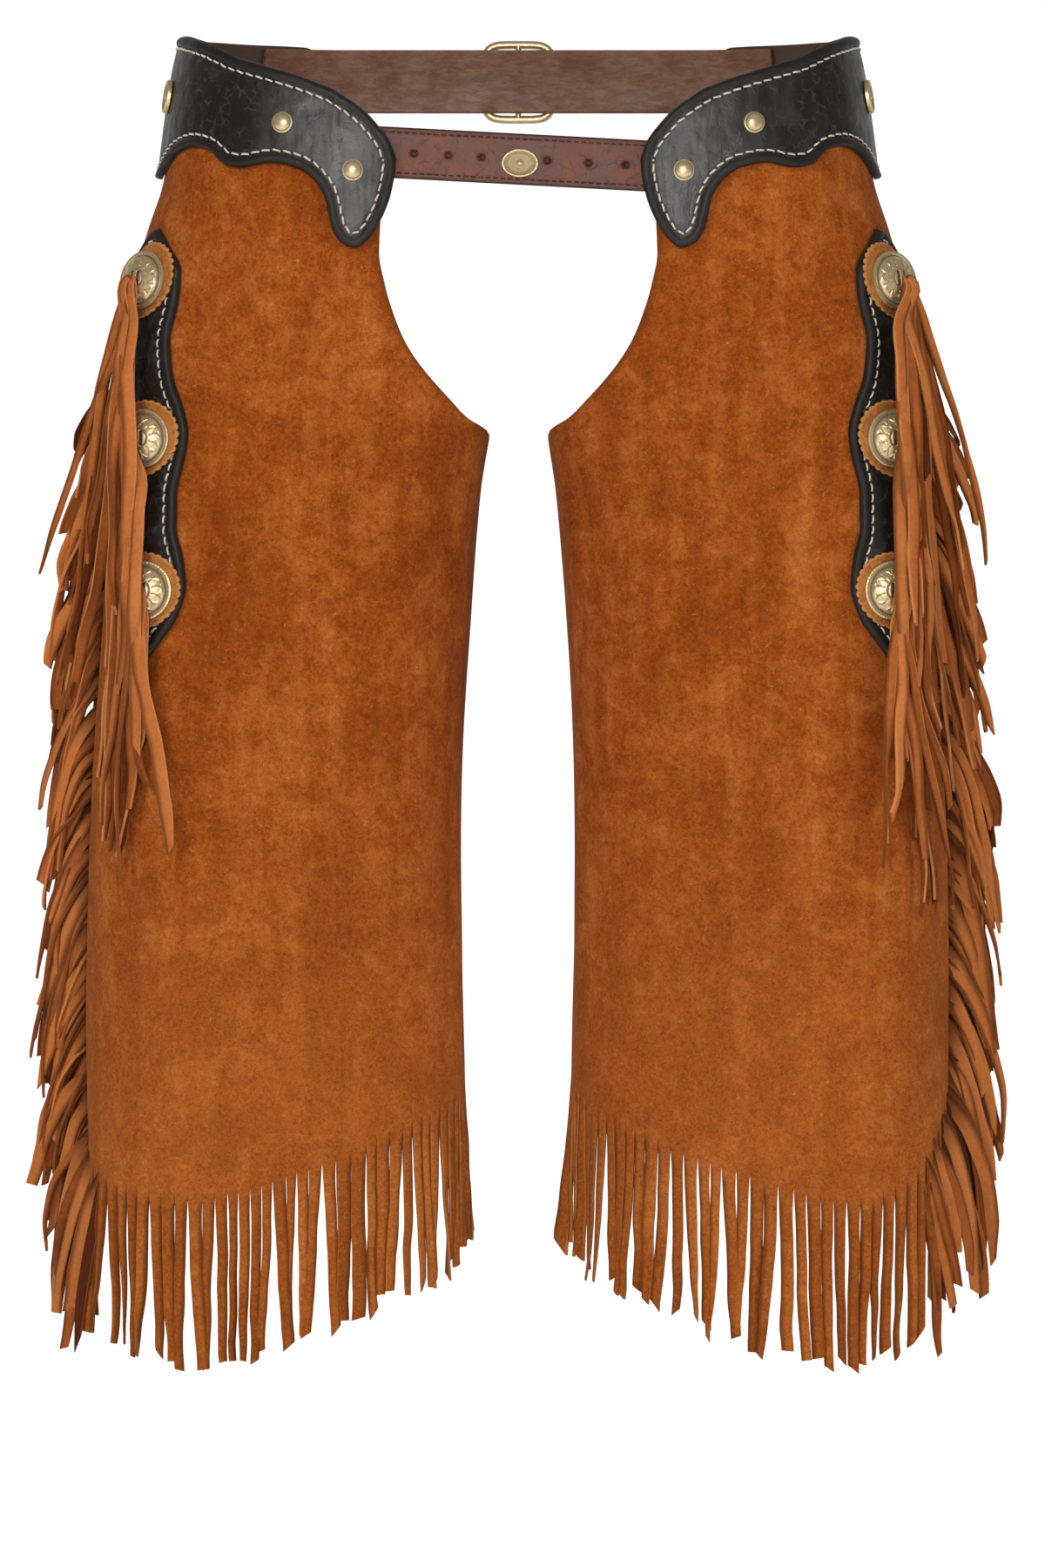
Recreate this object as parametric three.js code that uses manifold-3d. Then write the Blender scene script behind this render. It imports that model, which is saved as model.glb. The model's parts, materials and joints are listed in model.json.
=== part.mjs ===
// A pair of fringed leather chinks (short open-backed chaps), hollow, in the pose they take when worn.
// Millimetres, +Z up, the wearer facing -Y. The origin is the middle of the hips at the height of the belt.
// Every leather piece is a wall on one surface: an oval section for each height of each leg, measured
// round from its front, and a distance out from the suede's face.
import * as THREE from 'three';
import { mergeVertices } from 'three/addons/utils/BufferGeometryUtils.js';
import Module from 'manifold-3d';

const wasm = await Module();
wasm.setup();

// Rows of numbers, as rows with named columns.
function tableOf(names, ...rows) {
  return rows.map((row) => Object.fromEntries(names.map((name, i) => [name, row[i]])));
}

// ---- driving dimensions ----
const suedeThick = 2.2; // leg panels
const layerGap = 1; // between two leather layers, more than the facets' own error
const yokeThick = 3.4;
const stripThick = 2.8;
const strapThick = 2.6;
const strapWide = 30; // front strap
const beltWide = 38; // back belt
const legStrapWide = 22;
const fringeLong = 101; // hem fringe, from its slits to its tips
const fringeDeep = 6; // how far the hem strands stray from the panel, both ways together
const sideReach = 36; // how far the side fringe stands out
const rosette = { radius: 22.2, thick: 1.8 };
const concho = { radius: 17.2, rim: 1.6, dome: 5.4 };
const stud = { radius: 6.2, tall: 3.2 };
const button = { radius: 10.2, rim: 1.4, knob: 2.6 };

// Sections of one leg, top to bottom. q is the distance from the middle plane. front: where the
// oval is foremost, and face: how far forward. outer, inner: half-widths on either side of that.
// outerDeep, innerDeep: from the face back to the oval's widest place. back: from there to its back.
const sections = tableOf(
  ['z', 'front', 'face', 'outer', 'inner', 'outerDeep', 'innerDeep', 'back', 'square'],
  [40, 92, -108, 103, 92, 108, 12, 112, 2.8],
  [0, 94, -113, 109, 94, 114, 14, 116, 2.8],
  [-51, 98, -117, 112, 96, 114, 20, 118, 2.8],
  [-82, 101, -118, 118.5, 98, 112, 30, 116, 2.9],
  [-112, 105, -118, 123, 100, 109, 42, 112, 3],
  [-153, 114, -117, 121, 103, 104, 60, 106, 3],
  [-204, 124, -114, 115, 107, 98, 84, 98, 3],
  [-235, 129, -112, 112, 107, 96, 92, 94, 3],
  [-306, 135, -110, 110, 107, 94, 94, 90, 3],
  [-459, 143, -104, 110, 109, 90, 90, 84, 3],
  [-612, 143, -98, 111, 112, 86, 86, 80, 2.9],
  [-760, 143, -94, 112, 114, 84, 84, 78, 2.8],
);
const innerSquare = 2.5;
const backSquare = 2.3;

// The panel's inner edge, down the groin to the point between the legs and then down the inner thigh.
const innerEdge = [
  { z: -40, around: -11 },
  { z: -97, around: -12.5 },
  { z: -117, around: -16 },
  { z: -138, around: -22 },
  { z: -153, around: -27.5 },
  { z: -168, around: -35 },
  { z: -184, around: -46 },
  { z: -194, around: -56 },
  { z: -205, around: -86 },
  { z: -216, around: -92 },
  { z: -250, around: -97 },
  { z: -320, around: -100 },
  { z: -700, around: -100 },
];
const outerEdge = 88; // degrees round from the front

// Where the hem's slits start, and the panel's top, which the yoke covers.
const hem = [
  { around: -100, z: -572 },
  { around: -73, z: -583 },
  { around: -54, z: -597 },
  { around: -37, z: -609 },
  { around: -20, z: -624 },
  { around: -5, z: -636 },
  { around: 10, z: -645 },
  { around: 28, z: -649 },
  { around: 46, z: -646 },
  { around: 60, z: -636 },
  { around: 74, z: -620 },
  { around: 88, z: -598 },
];
const panelTop = [
  { around: -12, z: -44 },
  { around: 4, z: -34 },
  { around: 20, z: -20 },
  { around: 88, z: -12 },
];

// The yoke's two edges, from its pointed front tip round the hip to its back end.
const yokeEdges = [
  { around: -15.5, top: -44, bottom: -53 },
  { around: -14.4, top: -39, bottom: -66 },
  { around: -12, top: -31, bottom: -79 },
  { around: -8.5, top: -24, bottom: -90 },
  { around: -4.5, top: -17, bottom: -95.5 },
  { around: 0, top: -11, bottom: -93 },
  { around: 3.4, top: -7, bottom: -85 },
  { around: 7, top: -2.6, bottom: -65 },
  { around: 11, top: 0.5, bottom: -55 },
  { around: 16, top: 4.2, bottom: -48.5 },
  { around: 23.5, top: 9, bottom: -45.5 },
  { around: 31, top: 13.5, bottom: -48 },
  { around: 36, top: 16.5, bottom: -46.5 },
  { around: 42.5, top: 22, bottom: -37 },
  { around: 49, top: 26.5, bottom: -34.5 },
  { around: 56, top: 29.5, bottom: -37 },
  { around: 64, top: 32, bottom: -43.5 },
  { around: 75, top: 33.5, bottom: -51 },
  { around: 86, top: 34, bottom: -50 },
  { around: 97, top: 34.5, bottom: -43 },
  { around: 108, top: 35, bottom: -35.5 },
  { around: 118, top: 35.5, bottom: -34 },
  { around: 130, top: 36, bottom: -38.5 },
  { around: 140, top: 36, bottom: -37 },
  { around: 150, top: 36, bottom: -27 },
  { around: 160, top: 35.5, bottom: -15 },
  { around: 166, top: 31, bottom: -7 },
];

// The scalloped strip that carries the conchos: its middle line and half-width at each height.
const stripShape = [
  { z: -82, around: 57, half: 1.6 },
  { z: -90, around: 56.3, half: 13 },
  { z: -108, around: 54.8, half: 28 },
  { z: -124, around: 53, half: 26 },
  { z: -150, around: 50.5, half: 20 },
  { z: -168, around: 49, half: 21 },
  { z: -190, around: 47.5, half: 27 },
  { z: -203, around: 47, half: 29.5 },
  { z: -216, around: 46, half: 27 },
  { z: -240, around: 44.5, half: 21 },
  { z: -258, around: 44, half: 21 },
  { z: -276, around: 43.5, half: 25 },
  { z: -293, around: 43.2, half: 27 },
  { z: -310, around: 42.6, half: 22 },
  { z: -326, around: 41.6, half: 10 },
  { z: -336, around: 41, half: 1.6 },
];
const conchoHeights = { top: -113, middle: -206, low: -295 };

// The bundle of thongs that hangs from each concho: its middle line, half-width and thickness.
const tassels = {
  top: [
    { z: -115, around: 55, half: 4, deep: 4 },
    { z: -134, around: 61, half: 11, deep: 6 },
    { z: -160, around: 70, half: 14, deep: 9 },
    { z: -230, around: 75, half: 17, deep: 15 },
    { z: -300, around: 75, half: 18, deep: 15 },
    { z: -352, around: 74, half: 14, deep: 10 },
  ],
  middle: [
    { z: -208, around: 47, half: 4, deep: 4 },
    { z: -232, around: 50, half: 9, deep: 7 },
    { z: -300, around: 55.5, half: 10, deep: 10 },
    { z: -400, around: 56.5, half: 15, deep: 11 },
    { z: -455, around: 56, half: 13, deep: 8 },
  ],
  low: [
    { z: -297, around: 41.5, half: 3.5, deep: 4 },
    { z: -325, around: 41, half: 6, deep: 7 },
    { z: -400, around: 42.5, half: 7, deep: 7 },
    { z: -450, around: 43, half: 6, deep: 5 },
  ],
};

// The side fringe: its strands leave the seam from rootTop to rootLow and hang below it.
const sideFringe = [
  { z: -258, reach: 10, deep: 5 },
  { z: -300, reach: 24, deep: 9 },
  { z: -380, reach: 34, deep: 12 },
  { z: -500, reach: sideReach, deep: 12 },
  { z: -640, reach: sideReach, deep: 12 },
  { z: -700, reach: 30, deep: 9 },
  { z: -722, reach: 22, deep: 6 },
];
const fringeTurn = 62; // degrees of the fringe's own plane from straight back to straight out

const strapMiddle = { z: -43.3, slope: -0.053 }; // the front strap runs a little down to +X
const strapHalfLong = 92;
const strapHoles = { radius: 2, at: [-61, -41, -21.4, 17, 41, 63] };
const frontButton = { x: 1.5, wide: 11.2, tall: 9.2 };
const belt = { z: 15, from: 146, holes: [28, 52, 76], holeRadius: 2.2 };
const legStraps = { upper: -292, lower: -452 };
const legStrapEnds = { outer: 68, inner: 282 }; // degrees round, the back way
const buckles = {
  belt: { long: 46, tall: 50, bar: 5, thick: 3.6 },
  leg: { long: 26, tall: 32, bar: 3.6, thick: 2.6 },
};
const studPlaces = [
  { name: 'stud_upper', around: 21, z: -22 },
  { name: 'stud_lower', around: -0.8, z: -50 },
];
const sideButtonPlace = { around: 69, z: -3 };

const colours = {
  suede: { color: 0x9a4a16, roughness: 0.95, metalness: 0 },
  black: { color: 0x1c1a18, roughness: 0.45, metalness: 0 },
  tan: { color: 0xb0642a, roughness: 0.9, metalness: 0 },
  brown: { color: 0x56291a, roughness: 0.55, metalness: 0 },
  brass: { color: 0xb79a5c, roughness: 0.35, metalness: 1 },
};

// ---- the surface ----
const radians = THREE.MathUtils.degToRad;

// A column of a table at any place along it, smooth, with no overshoot.
function column(table, by, name, at) {
  const last = table.length - 1;
  const forward = table[last][by] > table[0][by] ? 1 : -1;
  const along = (row) => row[by] * forward;
  const place = THREE.MathUtils.clamp(at * forward, along(table[0]), along(table[last]));
  let i = 0;
  while (i < last - 1 && place > along(table[i + 1])) i += 1;
  const step = (k) => along(table[k + 1]) - along(table[k]);
  const slope = (k) => (table[k + 1][name] - table[k][name]) / step(k);
  const tangent = (k) => {
    if (k === 0) return slope(0);
    if (k === last) return slope(last - 1);
    const [before, after] = [slope(k - 1), slope(k)];
    return before * after <= 0 ? 0 : (2 * before * after) / (before + after);
  };
  const t = (place - along(table[i])) / step(i);
  const [t2, t3] = [t * t, t * t * t];
  return (
    (2 * t3 - 3 * t2 + 1) * table[i][name] +
    (t3 - 2 * t2 + t) * step(i) * tangent(i) +
    (3 * t2 - 2 * t3) * table[i + 1][name] +
    (t3 - t2) * step(i) * tangent(i + 1)
  );
}

// A point at an angle round the oval of height z, moved out from the suede's face. side -1 is the
// wearer's right, at -X.
function onLeg(side, around, z, out) {
  const at = (name) => column(sections, 'z', name, z);
  const [s, c] = [Math.sin(radians(around)), Math.cos(radians(around))];
  const outer = s >= 0;
  const wide = at(outer ? 'outer' : 'inner');
  const frontDeep = at(outer ? 'outerDeep' : 'innerDeep');
  const deep = c >= 0 ? frontDeep : at('back');
  const square = c < 0 ? backSquare : outer ? at('square') : innerSquare;
  const r = (Math.abs(s) ** square + Math.abs(c) ** square) ** (-1 / square);
  const normal = new THREE.Vector2(
    (Math.sign(s) * Math.abs(s * r) ** (square - 1)) / wide,
    (-Math.sign(c) * Math.abs(c * r) ** (square - 1)) / deep,
  ).normalize();
  const q = at('front') + wide * s * r + normal.x * out;
  const y = at('face') + frontDeep - deep * c * r + normal.y * out;
  return new THREE.Vector3(side * q, y, z);
}

// The same place with the surface's true facing, for what sits flat on it.
function seat(side, around, z, out) {
  const at = (a, h) => onLeg(side, a, h, out);
  const round = at(around + 2, z).sub(at(around - 2, z));
  const up = at(around, z + 3).sub(at(around, z - 3));
  const normal = new THREE.Vector3().crossVectors(round, up).multiplyScalar(side).normalize();
  return { point: at(around, z), normal };
}

// Degrees round for a length of leather, at that place on the surface.
function degreesFor(length, around, z) {
  const a = onLeg(1, around - 1, z, 0);
  const b = onLeg(1, around + 1, z, 0);
  return (2 * length) / a.distanceTo(b);
}

// ---- shapes ----
const chinks = new THREE.Group();

function add(name, geometry, finish, place = null) {
  const mesh = new THREE.Mesh(geometry, new THREE.MeshStandardMaterial(colours[finish]));
  mesh.name = name;
  if (place) {
    mesh.position.copy(place.point);
    mesh.quaternion.setFromUnitVectors(new THREE.Vector3(0, 0, 1), place.normal);
  }
  chinks.add(mesh);
  return mesh;
}

function signedVolume(points, faces) {
  let sum = 0;
  for (const [a, b, c] of faces) {
    sum += points[a].dot(new THREE.Vector3().crossVectors(points[b], points[c]));
  }
  return sum / 6;
}

function geometryOf(points, faces) {
  const outward = signedVolume(points, faces) > 0 ? faces : faces.map(([a, b, c]) => [a, c, b]);
  const geometry = new THREE.BufferGeometry().setFromPoints(points);
  geometry.setIndex(outward.flat());
  geometry.computeVertexNormals();
  return geometry;
}

// A closed wall between two grids of points, at(i, j, face) with face 0 inside and 1 outside.
function wall(rows, columns, at) {
  const points = [];
  const index = (face, i, j) => (face * rows + i) * columns + j;
  for (const face of [0, 1]) {
    for (let i = 0; i < rows; i += 1) {
      for (let j = 0; j < columns; j += 1) points.push(at(i, j, face));
    }
  }
  const faces = [];
  const quad = (a, b, c, d) => faces.push([a, b, c], [a, c, d]);
  for (let i = 0; i < rows - 1; i += 1) {
    for (let j = 0; j < columns - 1; j += 1) {
      quad(index(1, i, j), index(1, i + 1, j), index(1, i + 1, j + 1), index(1, i, j + 1));
      quad(index(0, i, j), index(0, i, j + 1), index(0, i + 1, j + 1), index(0, i + 1, j));
    }
  }
  for (let i = 0; i < rows - 1; i += 1) {
    quad(index(0, i, 0), index(0, i + 1, 0), index(1, i + 1, 0), index(1, i, 0));
    const j = columns - 1;
    quad(index(0, i, j), index(1, i, j), index(1, i + 1, j), index(0, i + 1, j));
  }
  for (let j = 0; j < columns - 1; j += 1) {
    quad(index(0, 0, j), index(1, 0, j), index(1, 0, j + 1), index(0, 0, j + 1));
    const i = rows - 1;
    quad(index(0, i, j), index(0, i, j + 1), index(1, i, j + 1), index(1, i, j));
  }
  return geometryOf(points, faces);
}

const lerp = THREE.MathUtils.lerp;
const share = (i, count) => i / (count - 1);

function legPanel(side) {
  // Rows close up at the point between the legs, which one of them meets.
  const down = [0, 0.07, 0.14, 0.19, 0.235, 0.264, 0.283, 0.3049, 0.33, 0.4, 0.5, 0.62, 0.74, 0.87, 1];
  const columns = 25;
  return wall(down.length, columns, (i, j, face) => {
    const across = share(j, columns);
    const guess = lerp(-100, outerEdge, across);
    const top = column(panelTop, 'around', 'z', lerp(-12, outerEdge, across));
    const z = lerp(top, column(hem, 'around', 'z', guess), down[i]);
    const around = lerp(column(innerEdge, 'z', 'around', z), outerEdge, across);
    return onLeg(side, around, z, face ? 0 : -suedeThick);
  });
}

function hemFringe(side) {
  const columns = 29;
  return wall(3, columns, (i, j, face) => {
    const around = lerp(-100, outerEdge, share(j, columns));
    const z = column(hem, 'around', 'z', around) - 0.7 - fringeLong * share(i, 3);
    return onLeg(side, around, z, ((face ? 1 : -1) * fringeDeep - suedeThick) / 2);
  });
}

function yoke(side) {
  const columns = 42;
  const ends = [yokeEdges[0].around, yokeEdges.at(-1).around];
  return wall(4, columns, (i, j, face) => {
    const around = lerp(ends[0], ends[1], share(j, columns) ** 1.3);
    const bottom = column(yokeEdges, 'around', 'bottom', around);
    const z = lerp(bottom, column(yokeEdges, 'around', 'top', around), share(i, 4));
    return onLeg(side, around, z, layerGap + (face ? yokeThick : 0));
  });
}

function conchoStrip(side) {
  const rows = 26;
  const columns = 7;
  return wall(rows, columns, (i, j, face) => {
    const z = lerp(stripShape[0].z, stripShape.at(-1).z, share(i, rows));
    const middle = column(stripShape, 'z', 'around', z);
    const half = degreesFor(column(stripShape, 'z', 'half', z), middle, z);
    const around = middle + lerp(-half, half, share(j, columns));
    return onLeg(side, around, z, layerGap + (face ? stripThick : 0));
  });
}

function tassel(side, rows) {
  const count = 9;
  const columns = 4;
  const lift = layerGap * 2 + stripThick + rosette.thick + concho.rim + concho.dome;
  return wall(count, columns, (i, j, face) => {
    const z = lerp(rows[0].z, rows.at(-1).z, share(i, count));
    const at = (name) => column(rows, 'z', name, z);
    const half = degreesFor(at('half'), at('around'), z);
    const out = lift + 1 + (face ? at('deep') : 0);
    return onLeg(side, at('around') + lerp(-half, half, share(j, columns)), z, out);
  });
}

// A fin that stands out from the seam at the panel's outer edge.
function sideFringeReach(side) {
  const rows = 12;
  const turn = radians(fringeTurn);
  const along = new THREE.Vector3(side * Math.sin(turn), Math.cos(turn), 0);
  const across = new THREE.Vector3(side * Math.cos(turn), -Math.sin(turn), 0);
  return wall(rows, 3, (i, j, face) => {
    const z = lerp(sideFringe[0].z, sideFringe.at(-1).z, share(i, rows));
    const at = (name) => column(sideFringe, 'z', name, z);
    const root = onLeg(side, outerEdge, z, 1.2);
    return root
      .addScaledVector(along, 1 + at('reach') * share(j, 3))
      .addScaledVector(across, (face ? 0.5 : -0.5) * at('deep') * (0.35 + 0.65 * share(j, 3)));
  });
}

// A round of leather that lies on the surface.
function round(side, around, z, out, { radius, thick }) {
  const sides = 16;
  const points = [];
  const place = (r, turn, lift) => {
    const sideways = degreesFor(Math.abs(r * Math.cos(turn)) + 1e-6, around, z) * Math.sign(Math.cos(turn));
    return onLeg(side, around + sideways, z + r * Math.sin(turn), out + lift);
  };
  const rings = [0, 0.5, 1];
  for (const lift of [0, thick]) {
    for (const ring of rings.slice(1)) {
      for (let i = 0; i < sides; i += 1) points.push(place(ring * radius, (i / sides) * 2 * Math.PI, lift));
    }
    points.push(place(0, 0, lift));
  }
  const layer = 2 * sides + 1;
  const faces = [];
  for (let i = 0; i < sides; i += 1) {
    const next = (i + 1) % sides;
    for (const [start, flip] of [[0, true], [layer, false]]) {
      const [a, b, c, d] = [start + i, start + next, start + sides + next, start + sides + i];
      const middle = start + 2 * sides;
      const three = [[middle, a, b], [a, d, c], [a, c, b]];
      faces.push(...three.map(([p, q, r]) => (flip ? [p, r, q] : [p, q, r])));
    }
    const [low, lowNext] = [sides + i, sides + next];
    faces.push([low, lowNext, lowNext + layer], [low, lowNext + layer, low + layer]);
  }
  return geometryOf(points, faces);
}

// A turned cap: flat below, a short rim and a dome.
function cap(radius, rim, dome, sides = 16) {
  const profile = [new THREE.Vector2(0, 0), new THREE.Vector2(radius, 0), new THREE.Vector2(radius, rim)];
  const steps = 3;
  for (let i = 1; i < steps; i += 1) {
    const angle = (i / steps) * (Math.PI / 2);
    profile.push(new THREE.Vector2(radius * 0.93 * Math.cos(angle), rim + dome * Math.sin(angle)));
  }
  profile.push(new THREE.Vector2(0, rim + dome));
  return new THREE.LatheGeometry(profile, sides).rotateX(Math.PI / 2);
}

function roundedRectangle(long, tall, radius) {
  const [x, y] = [long / 2 - radius, tall / 2 - radius];
  const path = new THREE.Path();
  path.absarc(x, y, radius, 0, Math.PI / 2);
  path.absarc(-x, y, radius, Math.PI / 2, Math.PI);
  path.absarc(-x, -y, radius, Math.PI, 1.5 * Math.PI);
  path.absarc(x, -y, radius, 1.5 * Math.PI, 2 * Math.PI);
  path.closePath();
  return path.getPoints(2);
}

// A flat frame with a bar across its middle, in its own XY plane.
function buckleFrame({ long, tall, bar, thick }) {
  const frame = new THREE.Shape(roundedRectangle(long, tall, bar * 1.4));
  frame.holes.push(new THREE.Path(roundedRectangle(long - 2 * bar, tall - 2 * bar, bar * 0.6)));
  const ring = new THREE.ExtrudeGeometry(frame, { depth: thick, bevelEnabled: false });
  const middleBar = new THREE.BoxGeometry(bar, tall - bar, thick * 0.8).translate(0, 0, thick / 2);
  return toGeometry(toSolid(ring).add(toSolid(middleBar)));
}

// A strap along a level path of points, tall either side of its height, thick inwards from the path.
function strapAlong(path, tall, thick, height) {
  const normals = path.map((p, i) => {
    const along = path[Math.min(i + 1, path.length - 1)].clone().sub(path[Math.max(i - 1, 0)]);
    return new THREE.Vector3(along.y, -along.x, 0).normalize();
  });
  return wall(2, path.length, (i, j, face) => {
    const p = path[j].clone().addScaledVector(normals[j], face ? 0 : -thick);
    return p.setZ(height(p.x) + (i ? tall / 2 : -tall / 2));
  });
}

// three.js splits corners for its normals, so they are joined by place before a solid is made.
function toSolid(geometry) {
  const bare = new THREE.BufferGeometry();
  bare.setAttribute('position', geometry.attributes.position);
  bare.setIndex(geometry.index);
  const closed = mergeVertices(bare);
  return new wasm.Manifold(
    new wasm.Mesh({
      numProp: 3,
      vertProperties: new Float32Array(closed.attributes.position.array),
      triVerts: new Uint32Array(closed.index.array),
    }),
  );
}

function toGeometry(solid) {
  const mesh = solid.getMesh();
  const geometry = new THREE.BufferGeometry();
  geometry.setAttribute('position', new THREE.BufferAttribute(mesh.vertProperties, 3));
  geometry.setIndex(new THREE.BufferAttribute(mesh.triVerts, 1));
  geometry.computeVertexNormals();
  return geometry;
}

// Punches round holes along Y through a strap.
function punched(geometry, radius, holes) {
  let solid = toSolid(geometry);
  for (const { x, y, z } of holes) {
    solid = solid.subtract(toSolid(new THREE.CylinderGeometry(radius, radius, 40, 10).translate(x, y, z)));
  }
  return toGeometry(solid);
}

// ---- one side ----
const under = suedeThick + layerGap + 0.4; // how far in the leg straps' faces lie

// A strap that lies inside the surface, through a list of places round it.
function band(places, height, tall) {
  const rows = 3;
  return wall(rows, places.length, (i, j, face) => {
    const z = height + tall * (share(i, rows) - 0.5);
    return onLeg(places[j].side, places[j].around, z, -places[j].under - (face ? 0 : strapThick));
  });
}

function placesRound(side, from, to, count, depth) {
  const place = (_, i) => ({ side, around: lerp(from, to, share(i, count)), under: depth });
  return Array.from({ length: count }, place);
}

function buckle(name, size, { point, normal }) {
  const mesh = add(name, buckleFrame(size), 'brass');
  const across = new THREE.Vector3().crossVectors(new THREE.Vector3(0, 0, 1), normal).normalize();
  const up = new THREE.Vector3().crossVectors(normal, across);
  mesh.matrixAutoUpdate = false;
  mesh.matrix.makeBasis(across, up, normal).setPosition(point);
}

for (const side of [-1, 1]) {
  const wearer = side < 0 ? 'right' : 'left';
  const name = (what) => `${what}_${wearer}`;
  add(name('leg_panel'), legPanel(side), 'suede');
  add(name('hem_fringe'), hemFringe(side), 'suede');
  add(name('side_fringe'), sideFringeReach(side), 'suede');
  add(name('yoke'), yoke(side), 'black');
  add(name('concho_strip'), conchoStrip(side), 'black');

  for (const [level, z] of Object.entries(conchoHeights)) {
    const around = column(stripShape, 'z', 'around', z);
    const onStrip = layerGap + stripThick + 0.6;
    const onRosette = onStrip + rosette.thick + 0.4;
    add(name(`rosette_${level}`), round(side, around, z, onStrip, rosette), 'tan');
    const dome = cap(concho.radius, concho.rim, concho.dome);
    add(name(`concho_${level}`), dome, 'brass', seat(side, around, z, onRosette));
    add(name(`thongs_${level}`), tassel(side, tassels[level]), 'suede');
  }

  const onYoke = layerGap + yokeThick + 0.3;
  for (const place of studPlaces) {
    const dome = cap(stud.radius, 0.6, stud.tall - 0.6, 12);
    add(name(place.name), dome, 'brass', seat(side, place.around, place.z, onYoke));
  }
  const flatOn = seat(side, sideButtonPlace.around, sideButtonPlace.z, onYoke + 0.2);
  add(name('hip_button'), cap(button.radius, button.rim, button.knob), 'brass', flatOn);

  for (const [level, z] of Object.entries(legStraps)) {
    const places = placesRound(side, legStrapEnds.outer, legStrapEnds.inner, 25, under);
    add(name(`leg_strap_${level}`), band(places, z, legStrapWide), 'brown');
    buckle(name(`leg_buckle_${level}`), buckles.leg, seat(side, 138, z, -under + 1.6));
  }
}

// ---- front strap, with its holes and button ----
const faceAt = column(sections, 'z', 'face', strapMiddle.z);
const strapHeight = (x) => strapMiddle.z + strapMiddle.slope * x;
const strapPath = Array.from({ length: 15 }, (_, i) => {
  const x = lerp(-strapHalfLong, strapHalfLong, share(i, 15));
  return new THREE.Vector3(x, faceAt + under + 0.4, 0);
});
const strapHolePlaces = strapHoles.at.map((x) => ({ x, y: faceAt, z: strapHeight(x) }));
const frontStrap = strapAlong(strapPath, strapWide, strapThick, strapHeight);
add('front_strap', punched(frontStrap, strapHoles.radius, strapHolePlaces), 'brown');

const frontPlace = {
  point: new THREE.Vector3(frontButton.x, faceAt + under + 0.1, strapHeight(frontButton.x)),
  normal: new THREE.Vector3(0, -1, 0),
};
const buttonShape = cap(1, button.rim, button.knob);
buttonShape.scale(frontButton.wide, frontButton.tall, 1);
add('front_button', buttonShape, 'brass', frontPlace);

// ---- back belt, from yoke to yoke, with its buckle ----
const beltPlaces = [
  ...placesRound(-1, belt.from, 180, 13, 0.5),
  ...placesRound(1, 180, belt.from, 13, 0.5),
];
const middleOfBack = onLeg(1, 180, belt.z, -0.5).setX(0);
const beltHoles = belt.holes.map((x) => ({ x, y: middleOfBack.y, z: belt.z }));
const backBelt = band(beltPlaces, belt.z, beltWide);
add('back_belt', punched(backBelt, belt.holeRadius, beltHoles), 'brown');
const beltBucklePlace = {
  point: middleOfBack.clone().setY(middleOfBack.y + 1.2),
  normal: new THREE.Vector3(0, 1, 0),
};
buckle('belt_buckle', buckles.belt, beltBucklePlace);

export default chinks;
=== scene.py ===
import json
import math
import random

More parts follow.
